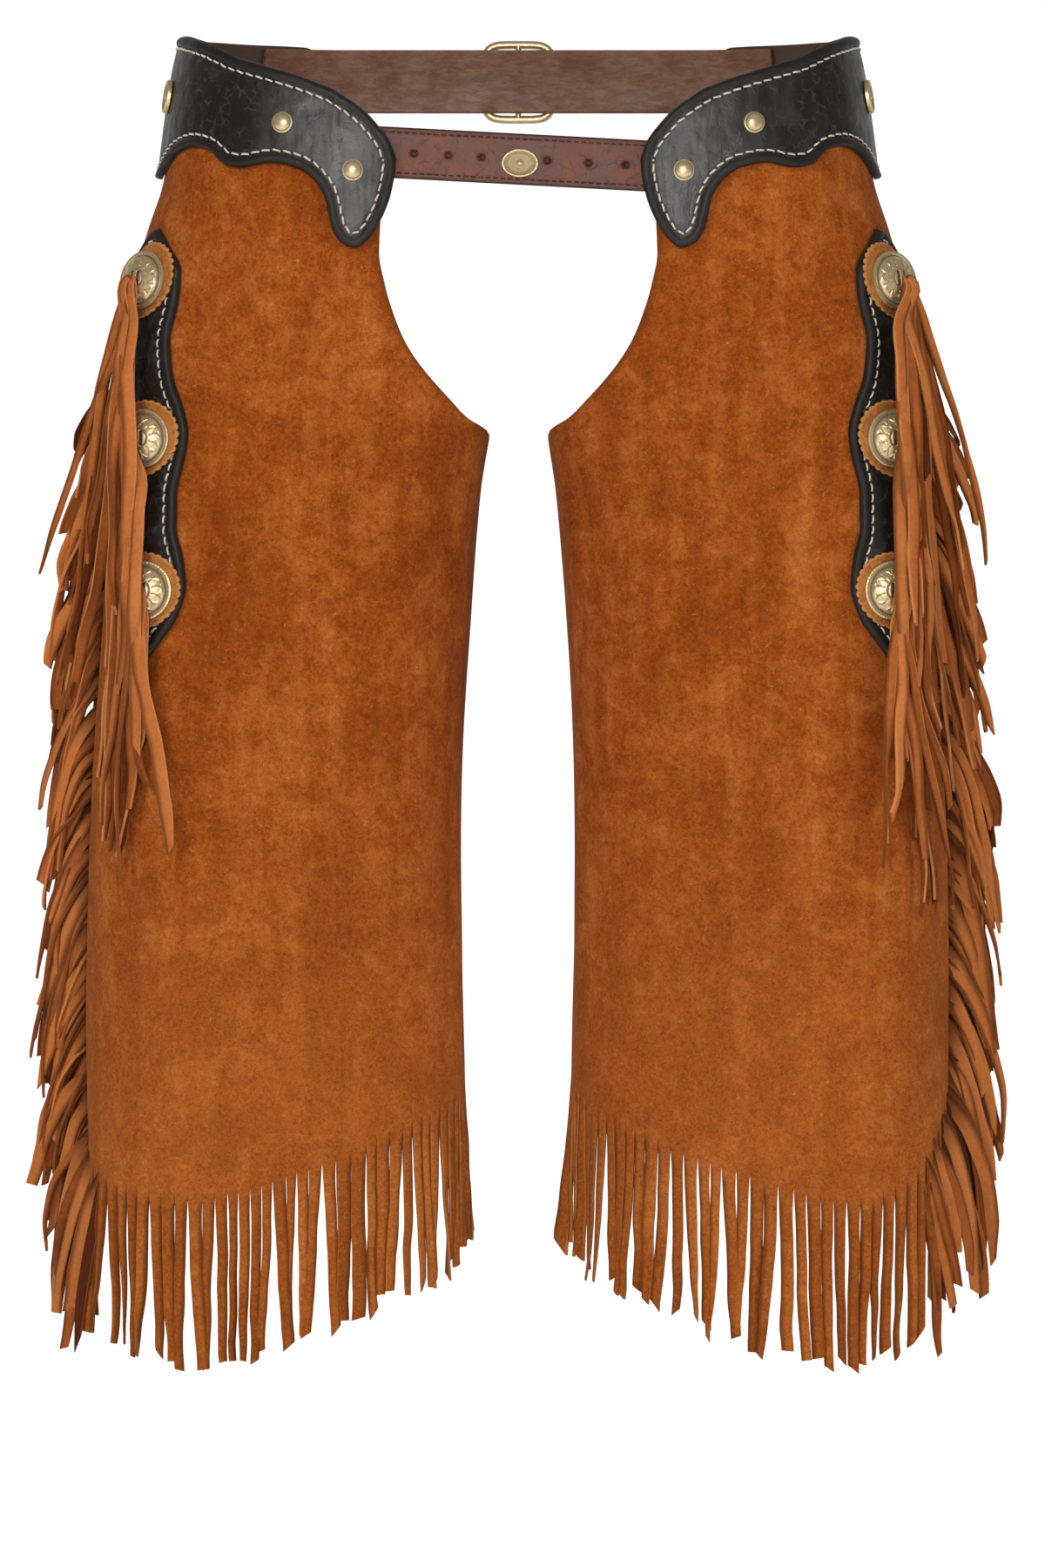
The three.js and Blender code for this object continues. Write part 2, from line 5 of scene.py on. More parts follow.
import bpy
import numpy as np
from mathutils import Matrix, Vector, kdtree
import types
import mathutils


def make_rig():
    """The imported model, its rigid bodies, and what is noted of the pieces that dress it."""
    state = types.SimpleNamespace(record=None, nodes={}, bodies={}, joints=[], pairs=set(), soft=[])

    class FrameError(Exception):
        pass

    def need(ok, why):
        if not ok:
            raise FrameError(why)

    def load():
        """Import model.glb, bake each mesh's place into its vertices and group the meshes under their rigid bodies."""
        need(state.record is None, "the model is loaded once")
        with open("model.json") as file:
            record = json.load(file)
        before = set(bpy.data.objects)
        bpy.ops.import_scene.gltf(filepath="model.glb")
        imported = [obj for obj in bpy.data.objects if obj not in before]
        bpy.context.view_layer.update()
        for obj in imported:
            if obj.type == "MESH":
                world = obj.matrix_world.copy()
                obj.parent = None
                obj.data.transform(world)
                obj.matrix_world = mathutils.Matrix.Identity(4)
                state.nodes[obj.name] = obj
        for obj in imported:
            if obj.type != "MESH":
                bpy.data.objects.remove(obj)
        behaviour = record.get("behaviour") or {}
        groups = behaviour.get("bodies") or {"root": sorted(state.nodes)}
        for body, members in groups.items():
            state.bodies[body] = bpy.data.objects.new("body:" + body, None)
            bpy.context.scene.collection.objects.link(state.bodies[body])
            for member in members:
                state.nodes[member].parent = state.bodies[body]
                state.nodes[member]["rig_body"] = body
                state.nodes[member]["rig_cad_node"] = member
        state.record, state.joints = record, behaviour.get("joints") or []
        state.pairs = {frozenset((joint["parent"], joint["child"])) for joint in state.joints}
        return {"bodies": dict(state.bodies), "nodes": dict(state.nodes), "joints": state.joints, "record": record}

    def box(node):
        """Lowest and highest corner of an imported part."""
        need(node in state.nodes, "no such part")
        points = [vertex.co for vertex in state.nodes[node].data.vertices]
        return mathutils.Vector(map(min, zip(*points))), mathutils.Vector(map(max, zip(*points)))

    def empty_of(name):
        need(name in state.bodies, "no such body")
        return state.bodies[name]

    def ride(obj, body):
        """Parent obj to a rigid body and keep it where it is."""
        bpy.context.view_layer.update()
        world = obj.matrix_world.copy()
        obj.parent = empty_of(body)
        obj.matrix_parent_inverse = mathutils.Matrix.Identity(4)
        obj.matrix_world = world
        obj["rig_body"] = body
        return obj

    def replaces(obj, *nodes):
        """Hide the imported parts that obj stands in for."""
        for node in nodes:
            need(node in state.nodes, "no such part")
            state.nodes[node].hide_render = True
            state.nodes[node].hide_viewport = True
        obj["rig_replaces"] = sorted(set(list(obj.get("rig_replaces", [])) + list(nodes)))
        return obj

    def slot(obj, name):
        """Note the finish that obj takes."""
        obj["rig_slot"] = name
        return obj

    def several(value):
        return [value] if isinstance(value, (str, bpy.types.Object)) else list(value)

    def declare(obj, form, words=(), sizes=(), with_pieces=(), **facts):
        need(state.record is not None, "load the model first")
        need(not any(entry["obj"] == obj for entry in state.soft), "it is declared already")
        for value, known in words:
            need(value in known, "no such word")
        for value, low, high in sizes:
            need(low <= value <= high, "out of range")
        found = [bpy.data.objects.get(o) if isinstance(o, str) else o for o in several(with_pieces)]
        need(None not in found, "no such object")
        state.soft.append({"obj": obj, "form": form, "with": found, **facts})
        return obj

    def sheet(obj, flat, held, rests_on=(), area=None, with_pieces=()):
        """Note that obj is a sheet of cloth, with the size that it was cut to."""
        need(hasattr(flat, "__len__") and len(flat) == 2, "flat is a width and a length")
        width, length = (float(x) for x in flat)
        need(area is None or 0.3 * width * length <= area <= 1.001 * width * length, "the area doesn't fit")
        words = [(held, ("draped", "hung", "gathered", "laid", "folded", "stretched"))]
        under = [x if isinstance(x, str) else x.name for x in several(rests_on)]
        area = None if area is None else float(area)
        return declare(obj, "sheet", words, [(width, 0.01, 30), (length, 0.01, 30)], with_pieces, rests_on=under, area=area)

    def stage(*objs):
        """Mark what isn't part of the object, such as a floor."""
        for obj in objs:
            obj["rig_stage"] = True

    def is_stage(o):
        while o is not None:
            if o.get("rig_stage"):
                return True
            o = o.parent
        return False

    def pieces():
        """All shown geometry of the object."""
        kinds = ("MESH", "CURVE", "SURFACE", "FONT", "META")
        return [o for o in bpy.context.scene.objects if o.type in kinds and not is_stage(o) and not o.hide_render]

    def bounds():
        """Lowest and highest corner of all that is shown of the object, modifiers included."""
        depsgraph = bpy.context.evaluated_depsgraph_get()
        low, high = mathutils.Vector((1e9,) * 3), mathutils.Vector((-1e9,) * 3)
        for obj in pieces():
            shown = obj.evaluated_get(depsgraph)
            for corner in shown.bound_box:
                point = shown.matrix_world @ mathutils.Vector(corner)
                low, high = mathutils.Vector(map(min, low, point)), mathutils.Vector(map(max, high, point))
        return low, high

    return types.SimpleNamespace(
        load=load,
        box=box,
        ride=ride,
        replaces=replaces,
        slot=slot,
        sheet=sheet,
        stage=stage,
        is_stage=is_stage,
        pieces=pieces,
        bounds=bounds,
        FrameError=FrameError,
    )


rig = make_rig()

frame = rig.load()
cadLow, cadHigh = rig.bounds()
mm = 0.001
sides = {"right": -1, "left": 1}  # the wearer's, so "right" is at -X
print("frame loaded:", len(frame["nodes"]), "nodes")


# the leg surface, in millimetres and degrees round each leg

def tableOf(names, *rows):
    return {name: np.array([row[i] for row in rows], float) for i, name in enumerate(names)}


legSections = tableOf(
    ["z", "front", "face", "outer", "inner", "outerDeep", "innerDeep", "back", "square"],
    [40, 92, -108, 103, 92, 108, 12, 112, 2.8],
    [0, 94, -113, 109, 94, 114, 14, 116, 2.8],
    [-51, 98, -117, 112, 96, 114, 20, 118, 2.8],
    [-82, 101, -118, 118.5, 98, 112, 30, 116, 2.9],
    [-112, 105, -118, 123, 100, 109, 42, 112, 3],
    [-153, 114, -117, 121, 103, 104, 60, 106, 3],
    [-204, 124, -114, 115, 107, 98, 84, 98, 3],
    [-235, 129, -112, 112, 107, 96, 92, 94, 3],
    [-306, 135, -110, 110, 107, 94, 94, 90, 3],
    [-459, 143, -104, 110, 109, 90, 90, 84, 3],
    [-612, 143, -98, 111, 112, 86, 86, 80, 2.9],
    [-760, 143, -94, 112, 114, 84, 84, 78, 2.8],
)
innerSquare, backSquare = 2.5, 2.3


def hermite(t, step, start, end, leaving, arriving):
    return (
        (2 * t**3 - 3 * t**2 + 1) * start
        + (t**3 - 2 * t**2 + t) * step * leaving
        + (3 * t**2 - 2 * t**3) * end
        + (t**3 - t**2) * step * arriving
    )


# a smooth curve through one column of a table that never overshoots its rows
def column(table, by, name, at):
    x, y = table[by], table[name]
    if x[0] > x[-1]:
        x, y = x[::-1], y[::-1]
    at = np.clip(np.asarray(at, float), x[0], x[-1])
    step = np.diff(x)
    slope = np.diff(y) / step
    tangent = np.empty_like(y)
    tangent[0], tangent[-1] = slope[0], slope[-1]
    product = slope[:-1] * slope[1:]
    total = np.where(product > 0, slope[:-1] + slope[1:], 1)
    tangent[1:-1] = np.where(product > 0, 2 * product / total, 0)
    i = np.clip(np.searchsorted(x, at, side="right") - 1, 0, len(step) - 1)
    return hermite((at - x[i]) / step[i], step[i], y[i], y[i + 1], tangent[i], tangent[i + 1])


def onLeg(side, around, z, out):
    around, z, out = np.broadcast_arrays(*(np.asarray(a, float) for a in (around, z, out)))
    at = {name: column(legSections, "z", name, z) for name in legSections if name != "z"}
    sine, cosine = np.sin(np.radians(around)), np.cos(np.radians(around))
    outer = sine >= 0
    wide = np.where(outer, at["outer"], at["inner"])
    frontDeep = np.where(outer, at["outerDeep"], at["innerDeep"])
    deep = np.where(cosine >= 0, frontDeep, at["back"])
    square = np.where(cosine < 0, backSquare, np.where(outer, at["square"], innerSquare))
    r = (np.abs(sine) ** square + np.abs(cosine) ** square) ** (-1 / square)
    nx = np.sign(sine) * np.abs(sine * r) ** (square - 1) / wide
    ny = -np.sign(cosine) * np.abs(cosine * r) ** (square - 1) / deep
    length = np.hypot(nx, ny)
    x = at["front"] + wide * sine * r + nx / length * out
    y = at["face"] + frontDeep - deep * cosine * r + ny / length * out
    return np.stack([side * x, y, z + 0 * x], -1) * mm


def unit(v):
    return v / np.maximum(np.linalg.norm(v, axis=-1, keepdims=True), 1e-12)


def facing(side, around, z):  # the way the surface faces
    level = onLeg(side, np.add(around, 1.5), z, 0) - onLeg(side, np.subtract(around, 1.5), z, 0)
    up = onLeg(side, around, np.add(z, 2), 0) - onLeg(side, around, np.subtract(z, 2), 0)
    return unit(np.cross(level, up)) * side


def degreeLength(side, around, z):  # millimetres for a degree round the leg
    gap = onLeg(side, np.add(around, 1), z, 0) - onLeg(side, np.subtract(around, 1), z, 0)
    return np.linalg.norm(gap, axis=-1) / 2 / mm


def edged(count, near):  # 0 to 1, closer together at both ends
    inside = np.linspace(near[-1] * 1.6, 1 - near[-1] * 1.6, count)
    return np.concatenate([near, inside, 1 - np.array(near[::-1])])


def quarterRound(far, radius):  # how high a rounded edge stands at a distance in from it, 0 to 1
    return np.sqrt(np.clip(1 - (1 - np.clip(far / radius, 0, 1)) ** 2, 0, 1))


def bell(value, middle, width):
    return np.exp(-(((value - middle) / width) ** 2))


# meshes

def makeObject(name, vertices, faces, material, attributes=None):
    mesh = bpy.data.meshes.new(name)
    mesh.from_pydata(np.asarray(vertices).tolist(), [], faces)
    for key, values in (attributes or {}).items():
        values = np.asarray(values, np.float32).ravel()
        mesh.attributes.new(key, "FLOAT", "POINT").data.foreach_set("value", values)
    mesh.polygons.foreach_set("use_smooth", [True] * len(mesh.polygons))
    mesh.materials.append(material)
    mesh.validate()
    mesh.set_sharp_from_angle(angle=math.radians(58))
    made = bpy.data.objects.new(name, mesh)
    bpy.context.scene.collection.objects.link(made)
    return made


def givePart(made, slot, node=None):  # every piece rides on the only body
    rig.ride(made, "root")
    if node:
        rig.replaces(made, node)
    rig.slot(made, slot)


# a closed shell between two grids of points, face out and flesh in
def shellMesh(face, flesh, outward):
    rows, columns = face.shape[:2]
    layer = rows * columns
    i, j = np.meshgrid(np.arange(rows - 1), np.arange(columns - 1), indexing="ij")
    a = i * columns + j
    quads = np.stack([a, a + columns, a + columns + 1, a + 1], -1).reshape(-1, 4)
    turned = quads[:, ::-1]
    faces = (quads if outward else turned).tolist() + (layer + (turned if outward else quads)).tolist()
    ring = (
        list(range(columns))
        + [i * columns + columns - 1 for i in range(1, rows)]
        + [(rows - 1) * columns + j for j in range(columns - 2, -1, -1)]
        + [i * columns for i in range(rows - 2, 0, -1)]
    )
    for a, b in zip(ring, ring[1:] + ring[:1]):
        quad = [a, b, b + layer, a + layer]
        faces.append(quad if outward else quad[::-1])
    return np.concatenate([face.reshape(-1, 3), flesh.reshape(-1, 3)]), faces


def shellValues(shape, **values):  # the same on both layers, and which of them is the flesh
    both = {key: np.tile(np.broadcast_to(value, shape).ravel(), 2) for key, value in values.items()}
    return {**both, "flesh": np.repeat([0.0, 1.0], shape[0] * shape[1])}


def shell(name, face, flesh, side, material, **values):
    points, faces = shellMesh(face, flesh, side > 0)
    return makeObject(name, points, faces, material, shellValues(face.shape[:2], **values))


# quads between rings of points, each ring numbered after the last; closed joins the last ring to the first
def tubeFaces(rings, count, closed=False, capped=True):
    faces = []
    for i in range(rings if closed else rings - 1):
        a, b = i * count, (i + 1) % rings * count
        faces += [[a + j, a + (j + 1) % count, b + (j + 1) % count, b + j] for j in range(count)]
    if capped and not closed:
        faces += [list(range(count))[::-1], list(range((rings - 1) * count, rings * count))]
    return faces


# a round tube along a line, drawn out by two directions that cross it
def tube(line, first, second, count):
    turns = np.arange(count) / count * 2 * np.pi
    return line[:, None] + first * np.cos(turns)[None, :, None] + second * np.sin(turns)[None, :, None]


class Bundle:  # many small pieces joined in one mesh
    def __init__(self):
        self.vertices, self.faces, self.count = [], [], 0
        self.attributes = {}
        self.cut = []  # width, length and area of each strand, in metres

    def add(self, vertices, faces, **attributes):
        vertices = np.asarray(vertices, float).reshape(-1, 3)
        self.vertices.append(vertices)
        self.faces += [[v + self.count for v in f] for f in faces]
        for key, value in attributes.items():
            self.attributes.setdefault(key, []).append(np.broadcast_to(np.ravel(value), (len(vertices),)))
        self.count += len(vertices)

    def finish(self, name, material):
        attributes = {k: np.concatenate(v) for k, v in self.attributes.items()}
        return makeObject(name, np.concatenate(self.vertices), self.faces, material, attributes)

    def cutSize(self):  # the strands side by side: their whole width and longest length, and their area
        wide, long, area = np.array(self.cut).T
        return {"flat": (float(wide.sum()), float(long.max())), "area": float(area.sum())}


ribbonSection = tableOf(
    ["across", "high"],
    [-1, 0], [-0.9, 0.5], [-0.35, 0.62], [0.35, 0.62], [0.9, 0.5],
    [1, 0], [0.9, -0.5], [0.35, -0.38], [-0.35, -0.38], [-0.9, -0.5],
)


# a flat strand along a line of points: half its width at each, where it faces, and a slanted cut at its tip
def ribbon(bundle, line, half, face, thick, cut=0.0, tone=0.5, cup=0.0, lightEdge=1, lastTip=1.0):
    along = unit(np.gradient(line, axis=0))
    across = unit(np.cross(along, face))
    normal = np.cross(across, along)
    half = np.broadcast_to(half, (len(line),))
    x, y = ribbonSection["across"], ribbonSection["high"]
    flat = y[None, :] * thick + cup * (x[None, :] ** 2) * half[:, None]
    points = (
        line[:, None]
        + across[:, None] * (x[None, :] * half[:, None])[..., None] * mm
        + normal[:, None] * flat[..., None] * mm
    )
    points[-1] += along[-1] * (cut * x)[:, None] * mm
    tip = np.linspace(0, lastTip, len(line))[:, None] + 0 * x[None, :]
    rim = lightEdge * x[None, :] + 0 * tip
    bundle.add(points, tubeFaces(len(line), len(x)), tone=tone, rim=rim, tip=tip)
    length = np.linalg.norm(np.diff(line, axis=0), axis=1).sum()
    bundle.cut.append((2 * half.max() * mm, length, 2 * half.mean() * mm * length))


def slowNoise(values, seed):  # a few slow waves, the same each run
    maker = random.Random(seed)
    return sum(np.sin(values * k * 2 * math.pi + maker.uniform(0, 6.3)) / k for k in (1.0, 2.1, 3.7)) / 1.75


# shader nodes

class Tree:  # the nodes of one material or node group
    def __init__(self, owner, nodeTree):
        self.owner, self.nodes, self.links = owner, nodeTree.nodes, nodeTree.links

    def finish(self, values):  # plugs what was made into the shader or the group's outputs
        for key, value in values.items():
            self.plug(value, self.result[key])
        return self.owner

    def plug(self, value, socket):
        if isinstance(value, bpy.types.NodeSocket):
            self.links.new(value, socket)
        elif value is not None:
            socket.default_value = value

    def add(self, kind, inputs=None, **settings):
        made = self.nodes.new("ShaderNode" + kind)
        for key, value in settings.items():
            setattr(made, key, value)
        for key, value in (inputs or {}).items():
            self.plug(value, made.inputs[key])
        return made

    def noise(self, where, scale, detail=3.0, roughness=0.55, distortion=0.0):
        inputs = {"Vector": where, "Scale": scale, "Detail": detail}
        return self.add("TexNoise", {**inputs, "Roughness": roughness, "Distortion": distortion}).outputs["Fac"]

    def calc(self, operation, a, b=None, c=None, clamp=False):
        made = self.add("Math", dict(enumerate((a, b, c))), operation=operation, use_clamp=clamp)
        return made.outputs[0]

    def times(self, a, b):
        return self.calc("MULTIPLY", a, b)

    def timesPlus(self, a, b, c):
        return self.calc("MULTIPLY_ADD", a, b, c)

    def minus(self, a, b):
        return self.calc("SUBTRACT", a, b)

    def spread(self, value, low, high, toLow=0.0, toHigh=1.0):
        inputs = {"Value": value, "From Min": low, "From Max": high, "To Min": toLow, "To Max": toHigh}
        return self.add("MapRange", inputs, interpolation_type="SMOOTHSTEP").outputs[0]

    def mix(self, share, a, b, way="MIX"):
        return self.add("Mix", {0: share, 6: a, 7: b}, data_type="RGBA", blend_type=way).outputs[2]

    def layer(self, under, over, value, low, high, toLow=0.0, toHigh=1.0):
        return self.mix(self.spread(value, low, high, toLow, toHigh), under, over)

    def attribute(self, name):
        return self.add("Attribute", attribute_name=name).outputs["Fac"]

    def bump(self, height, strength, distance, normal=None):
        inputs = {"Height": height, "Strength": strength, "Distance": distance, "Normal": normal}
        return self.add("Bump", inputs).outputs[0]

    def place(self):
        return self.add("TexCoord").outputs["Object"]

    def stretched(self, where, x, y, z):
        return self.add("Mapping", {"Vector": where, "Scale": (x, y, z)}).outputs[0]

    def group(self, group, inputs):
        return self.add("Group", inputs, node_tree=group).outputs


def newMaterial(name):
    material = bpy.data.materials.new(name)
    material.use_nodes = True
    material.node_tree.nodes.clear()
    tree = Tree(material, material.node_tree)
    shader = tree.add("BsdfPrincipled")
    tree.add("OutputMaterial", {"Surface": shader.outputs[0]})
    tree.result = shader.inputs
    return tree


def newGroup(name, inputs, outputs):
    group = bpy.data.node_groups.new(name, "ShaderNodeTree")
    group.interface.new_socket("Vector", in_out="INPUT", socket_type="NodeSocketVector")
    for key, value in inputs.items():
        group.interface.new_socket(key, in_out="INPUT", socket_type="NodeSocketFloat").default_value = value
    for key in outputs:
        group.interface.new_socket(key, in_out="OUTPUT", socket_type="NodeSocketFloat")
    tree = Tree(group, group)
    tree.result = group.nodes.new("NodeGroupOutput").inputs
    return tree, group.nodes.new("NodeGroupInput").outputs


# brushed nap of split leather: cloudy patches, slow streaks down the leg, hair-fine grain and pale lint
def makeNapGroup():
    given = {"Patch Scale": 14.0, "Grain Scale": 900.0, "Streaks": 0.4, "Lint Scale": 110.0}
    tree, given = newGroup("suedeNap", given, ["Mottle", "Lint", "Grain", "Height"])
    where = given["Vector"]
    patches = tree.noise(where, given["Patch Scale"], 5.0, 0.6, 0.8)
    small = tree.noise(where, tree.times(given["Patch Scale"], 6.0), 4.0, 0.65, 0.6)
    streaks = tree.noise(tree.stretched(where, 60, 60, 5), 1.0, 3.0, 0.6)
    grain = tree.noise(where, given["Grain Scale"], 2.0, 0.7)
    hairs = tree.noise(where, tree.times(given["Grain Scale"], 0.45), 4.0, 0.75, 1.0)
    mottle = tree.timesPlus(small, 0.5, tree.times(patches, 0.5))
    mottle = tree.timesPlus(tree.minus(streaks, 0.5), given["Streaks"], mottle)
    curls = tree.noise(where, given["Lint Scale"], 3.0, 0.6, 2.5)
    thin = tree.spread(tree.calc("ABSOLUTE", tree.minus(curls, 0.5)), 0.0, 0.012, 1.0, 0.0)
    broken = tree.spread(tree.noise(where, tree.times(given["Lint Scale"], 2.2), 2.0), 0.5, 0.62)
    height = tree.timesPlus(hairs, 0.6, tree.times(grain, 0.3))
    lint = tree.times(thin, broken)
    fine = tree.spread(hairs, 0.36, 0.66)
    return tree.finish({"Mottle": mottle, "Lint": lint, "Grain": fine, "Height": height})


# full-grain leather: pebbles, fine arcs where it has crackled, and soft dents from tooling
def makeGrainGroup():
    given = {"Pebble Scale": 500.0, "Crack Scale": 120.0, "Dent Scale": 55.0}
    tree, given = newGroup("leatherGrain", given, ["Cracks", "Dents", "Height"])
    where = given["Vector"]
    shifted = tree.add("TexNoise", {"Vector": where, "Scale": 70.0, "Detail": 3.0}).outputs["Color"]
    bent = tree.add("VectorMath", {0: shifted, 1: (0.009, 0.009, 0.009), 2: where}, operation="MULTIPLY_ADD")

    def cells(scale, feature):
        inputs = {"Vector": bent.outputs[0], "Scale": given[scale]}
        return tree.add("TexVoronoi", inputs, feature=feature).outputs["Distance"]

    lines = tree.spread(cells("Crack Scale", "DISTANCE_TO_EDGE"), 0.0, 0.09, 1.0, 0.0)
    lines = tree.times(lines, tree.spread(tree.noise(where, 160.0, 3.0), 0.42, 0.62))
    pebbles = cells("Pebble Scale", "SMOOTH_F1")
    height = tree.timesPlus(pebbles, -0.25, tree.times(lines, -0.22))
    return tree.finish({"Cracks": lines, "Dents": cells("Dent Scale", "SMOOTH_F1"), "Height": height})


# dirt in the hollows and bright high spots on metal
def makeTarnishGroup():
    given = {"Depth": 0.0, "Spot Scale": 350.0}
    tree, given = newGroup("tarnish", given, ["Dark", "Scratches"])
    where = given["Vector"]
    spots = tree.noise(where, given["Spot Scale"], 4.0, 0.65)
    dark = tree.calc("ADD", given["Depth"], tree.spread(spots, 0.52, 0.75, 0.0, 0.45), clamp=True)
    scratches = tree.noise(tree.stretched(where, 1.0, 1.0, 12.0), 500.0, 2.0, 0.7)
    return tree.finish({"Dark": dark, "Scratches": scratches})


napGroup = makeNapGroup()
grainGroup = makeGrainGroup()
tarnishGroup = makeTarnishGroup()

suedeLook = {
    "dark": (0.225, 0.047, 0.0055, 1),
    "middle": (0.335, 0.078, 0.01, 1),
    "light": (0.50, 0.158, 0.032, 1),
    "lint": (0.6, 0.23, 0.06, 1),
    "grain": (0.62, 0.5, 0.44, 1),
    # edge: painted shade, along the panel's inner edge and on one side of each hem strand
    "edge": (0.12, 0.03, 0.006, 1),
    "flesh": (0.30, 0.12, 0.04, 1),
    "nap": {"Patch Scale": 13.0, "Grain Scale": 1100.0, "Streaks": 0.35},
    "surface": {
        "Roughness": 0.95,
        "Specular IOR Level": 0.08,
        "Sheen Weight": 0.07,
        "Sheen Roughness": 0.45,
        "Sheen Tint": (1.0, 0.55, 0.28, 1),
    },
}


# the hem's strands are the panel's own suede, a little lighter or darker from one to the next
def makeSuede(name, hem):
    look = suedeLook
    tree = newMaterial(name)
    where = tree.place()
    nap = tree.group(napGroup, {"Vector": where, **look["nap"]})
    mottle, lighter = nap["Mottle"], 0.34
    if hem:
        mottle = tree.timesPlus(tree.minus(tree.attribute("tone"), 0.5), 0.36, mottle)
    else:
        height = tree.add("SeparateXYZ", {"Vector": where}).outputs["Z"]
        lighter = tree.spread(height, -0.34, -0.64, 0.0, lighter)
    colour = tree.layer(look["dark"], look["middle"], mottle, 0.26, 0.56)
    colour = tree.layer(colour, look["light"], mottle, 0.46, 0.72, 0.0, 0.9)
    colour = tree.mix(lighter, colour, look["light"])
    darker = tree.mix(1.0, colour, look["grain"], "MULTIPLY")
    colour = tree.mix(tree.times(nap["Grain"], 0.92), colour, darker)
    colour = tree.mix(tree.times(nap["Lint"], 0.75), colour, look["lint"])
    if hem:
        # painted shade along one side of each strand, and a painted highlight on the cut edge of its other side
        rim = tree.attribute("rim")
        colour = tree.layer(colour, look["edge"], rim, -0.05, -0.9, 0.0, 0.75)
        colour = tree.layer(colour, look["lint"], rim, 0.86, 0.96, 0.0, 0.4)
    else:
        # painted shade within 6 mm of the inner edge, where the panel turns away from the light
        colour = tree.layer(colour, look["edge"], tree.attribute("rimDistance"), 0.0, 6.0, 0.6, 0.0)
    colour = tree.mix(tree.times(tree.attribute("flesh"), 0.8), colour, look["flesh"])
    normal = tree.bump(nap["Height"], 0.45, 0.0007, tree.bump(nap["Mottle"], 0.3, 0.003))
    return tree.finish({"Base Color": colour, "Normal": normal, **look["surface"]})


strandLook = {
    "dark": (0.09, 0.02, 0.005, 1),
    "middle": (0.37, 0.099, 0.021, 1),
    "light": (0.60, 0.20, 0.054, 1),
    "edge": (0.60, 0.24, 0.082, 1),
    "root": (0.035, 0.009, 0.003, 1),
    "grain": (0.7, 0.62, 0.55, 1),
    "nap": {"Patch Scale": 30.0, "Grain Scale": 1100.0, "Streaks": 0.5},
    "surface": {
        "Roughness": 0.9,
        "Specular IOR Level": 0.12,
        "Sheen Weight": 0.07,
        "Sheen Roughness": 0.45,
        "Sheen Tint": (1.0, 0.6, 0.35, 1),
    },
}


def makeStrandSuede(name, edgeHighlight, rootShade):
    look = strandLook
    tree = newMaterial(name)
    nap = tree.group(napGroup, {"Vector": tree.place(), **look["nap"]})
    mixed = tree.timesPlus(tree.attribute("tone"), 0.6, tree.times(nap["Mottle"], 0.5))
    colour = tree.layer(look["dark"], look["middle"], mixed, 0.15, 0.55)
    colour = tree.layer(colour, look["light"], mixed, 0.5, 0.9, 0.0, 0.8)
    darker = tree.mix(1.0, colour, look["grain"], "MULTIPLY")
    colour = tree.mix(tree.times(nap["Grain"], 0.45), colour, darker)
    rim = tree.attribute("rim")
    # painted shade along one side of each strand, and on the other a cut edge that is lighter raw leather with a
    # painted highlight
    colour = tree.layer(colour, look["dark"], rim, -0.15, -0.9, 0.0, 0.68)
    colour = tree.layer(colour, look["edge"], rim, 0.7, 0.94, 0.0, edgeHighlight)
    colour = tree.layer(colour, look["root"], tree.attribute("tip"), 0.0, 0.35, rootShade, 0.0)
    normal = tree.bump(nap["Height"], 0.4, 0.0006)
    return tree.finish({"Base Color": colour, "Normal": normal, **look["surface"]})


# worn is the colour of random rubbed patches and also of the painted sheen on the yokes' front tips
blackLook = {
    "base": (0.011, 0.0088, 0.007, 1),
    "worn": (0.07, 0.065, 0.06, 1),
    "crack": (0.045, 0.04, 0.034, 1),
    "flesh": (0.07, 0.045, 0.03, 1),
    "edge": (0.012, 0.009, 0.007, 1),
    "grain": {"Pebble Scale": 620.0, "Crack Scale": 150.0, "Dent Scale": 95.0},
}


def makeBlackLeather():
    look = blackLook
    tree = newMaterial("blackLeather")
    where = tree.place()
    grain = tree.group(grainGroup, {"Vector": where, **look["grain"]})
    patches = tree.noise(where, 34.0, 5.0, 0.65, 0.8)
    # the yoke's front tips get a painted grey sheen, broken into streaks, and show fewer cracks there
    front, flesh, far = (tree.attribute(name) for name in ("polish", "flesh", "rimDistance"))
    sheenStreaks = tree.noise(tree.stretched(where, 150, 150, 22), 1.0, 4.0, 0.6, 0.7)
    paintedTipSheen = tree.times(front, tree.spread(sheenStreaks, 0.32, 0.66, 0.2, 1.3))
    worn = tree.calc("MAXIMUM", tree.spread(patches, 0.5, 0.8, 0.0, 0.35), paintedTipSheen)
    colour = tree.mix(worn, look["base"], look["worn"])
    cracked = tree.minus(0.8, tree.times(front, 0.75))
    colour = tree.mix(tree.times(grain["Cracks"], cracked), colour, look["crack"])
    colour = tree.layer(colour, look["edge"], far, 4.0, 7.0, 0.9, 0.0)
    colour = tree.mix(flesh, colour, look["flesh"])
    rough = tree.timesPlus(flesh, 0.4, tree.spread(patches, 0.3, 0.7, 0.3, 0.46))
    rough = tree.calc("ADD", rough, tree.spread(far, 4.0, 7.0, 0.14, 0.0))
    dents = tree.bump(tree.spread(grain["Dents"], 0.0, 0.75), 0.45, 0.0011)
    normal = tree.bump(grain["Height"], 0.5, 0.0005, dents)
    surface = {"Base Color": colour, "Normal": normal, "Roughness": rough, "Specular IOR Level": 0.42}
    return tree.finish(surface)


strapLook = {
    "base": (0.10, 0.028, 0.015, 1),
    "worn": (0.19, 0.064, 0.036, 1),
    "crack": (0.03, 0.01, 0.006, 1),
    "edge": (0.02, 0.008, 0.006, 1),
    "flesh": (0.13, 0.055, 0.028, 1),
    "fibre": (0.2, 0.1, 0.055, 1),
    "grain": {"Pebble Scale": 700.0, "Crack Scale": 160.0, "Dent Scale": 90.0},
}


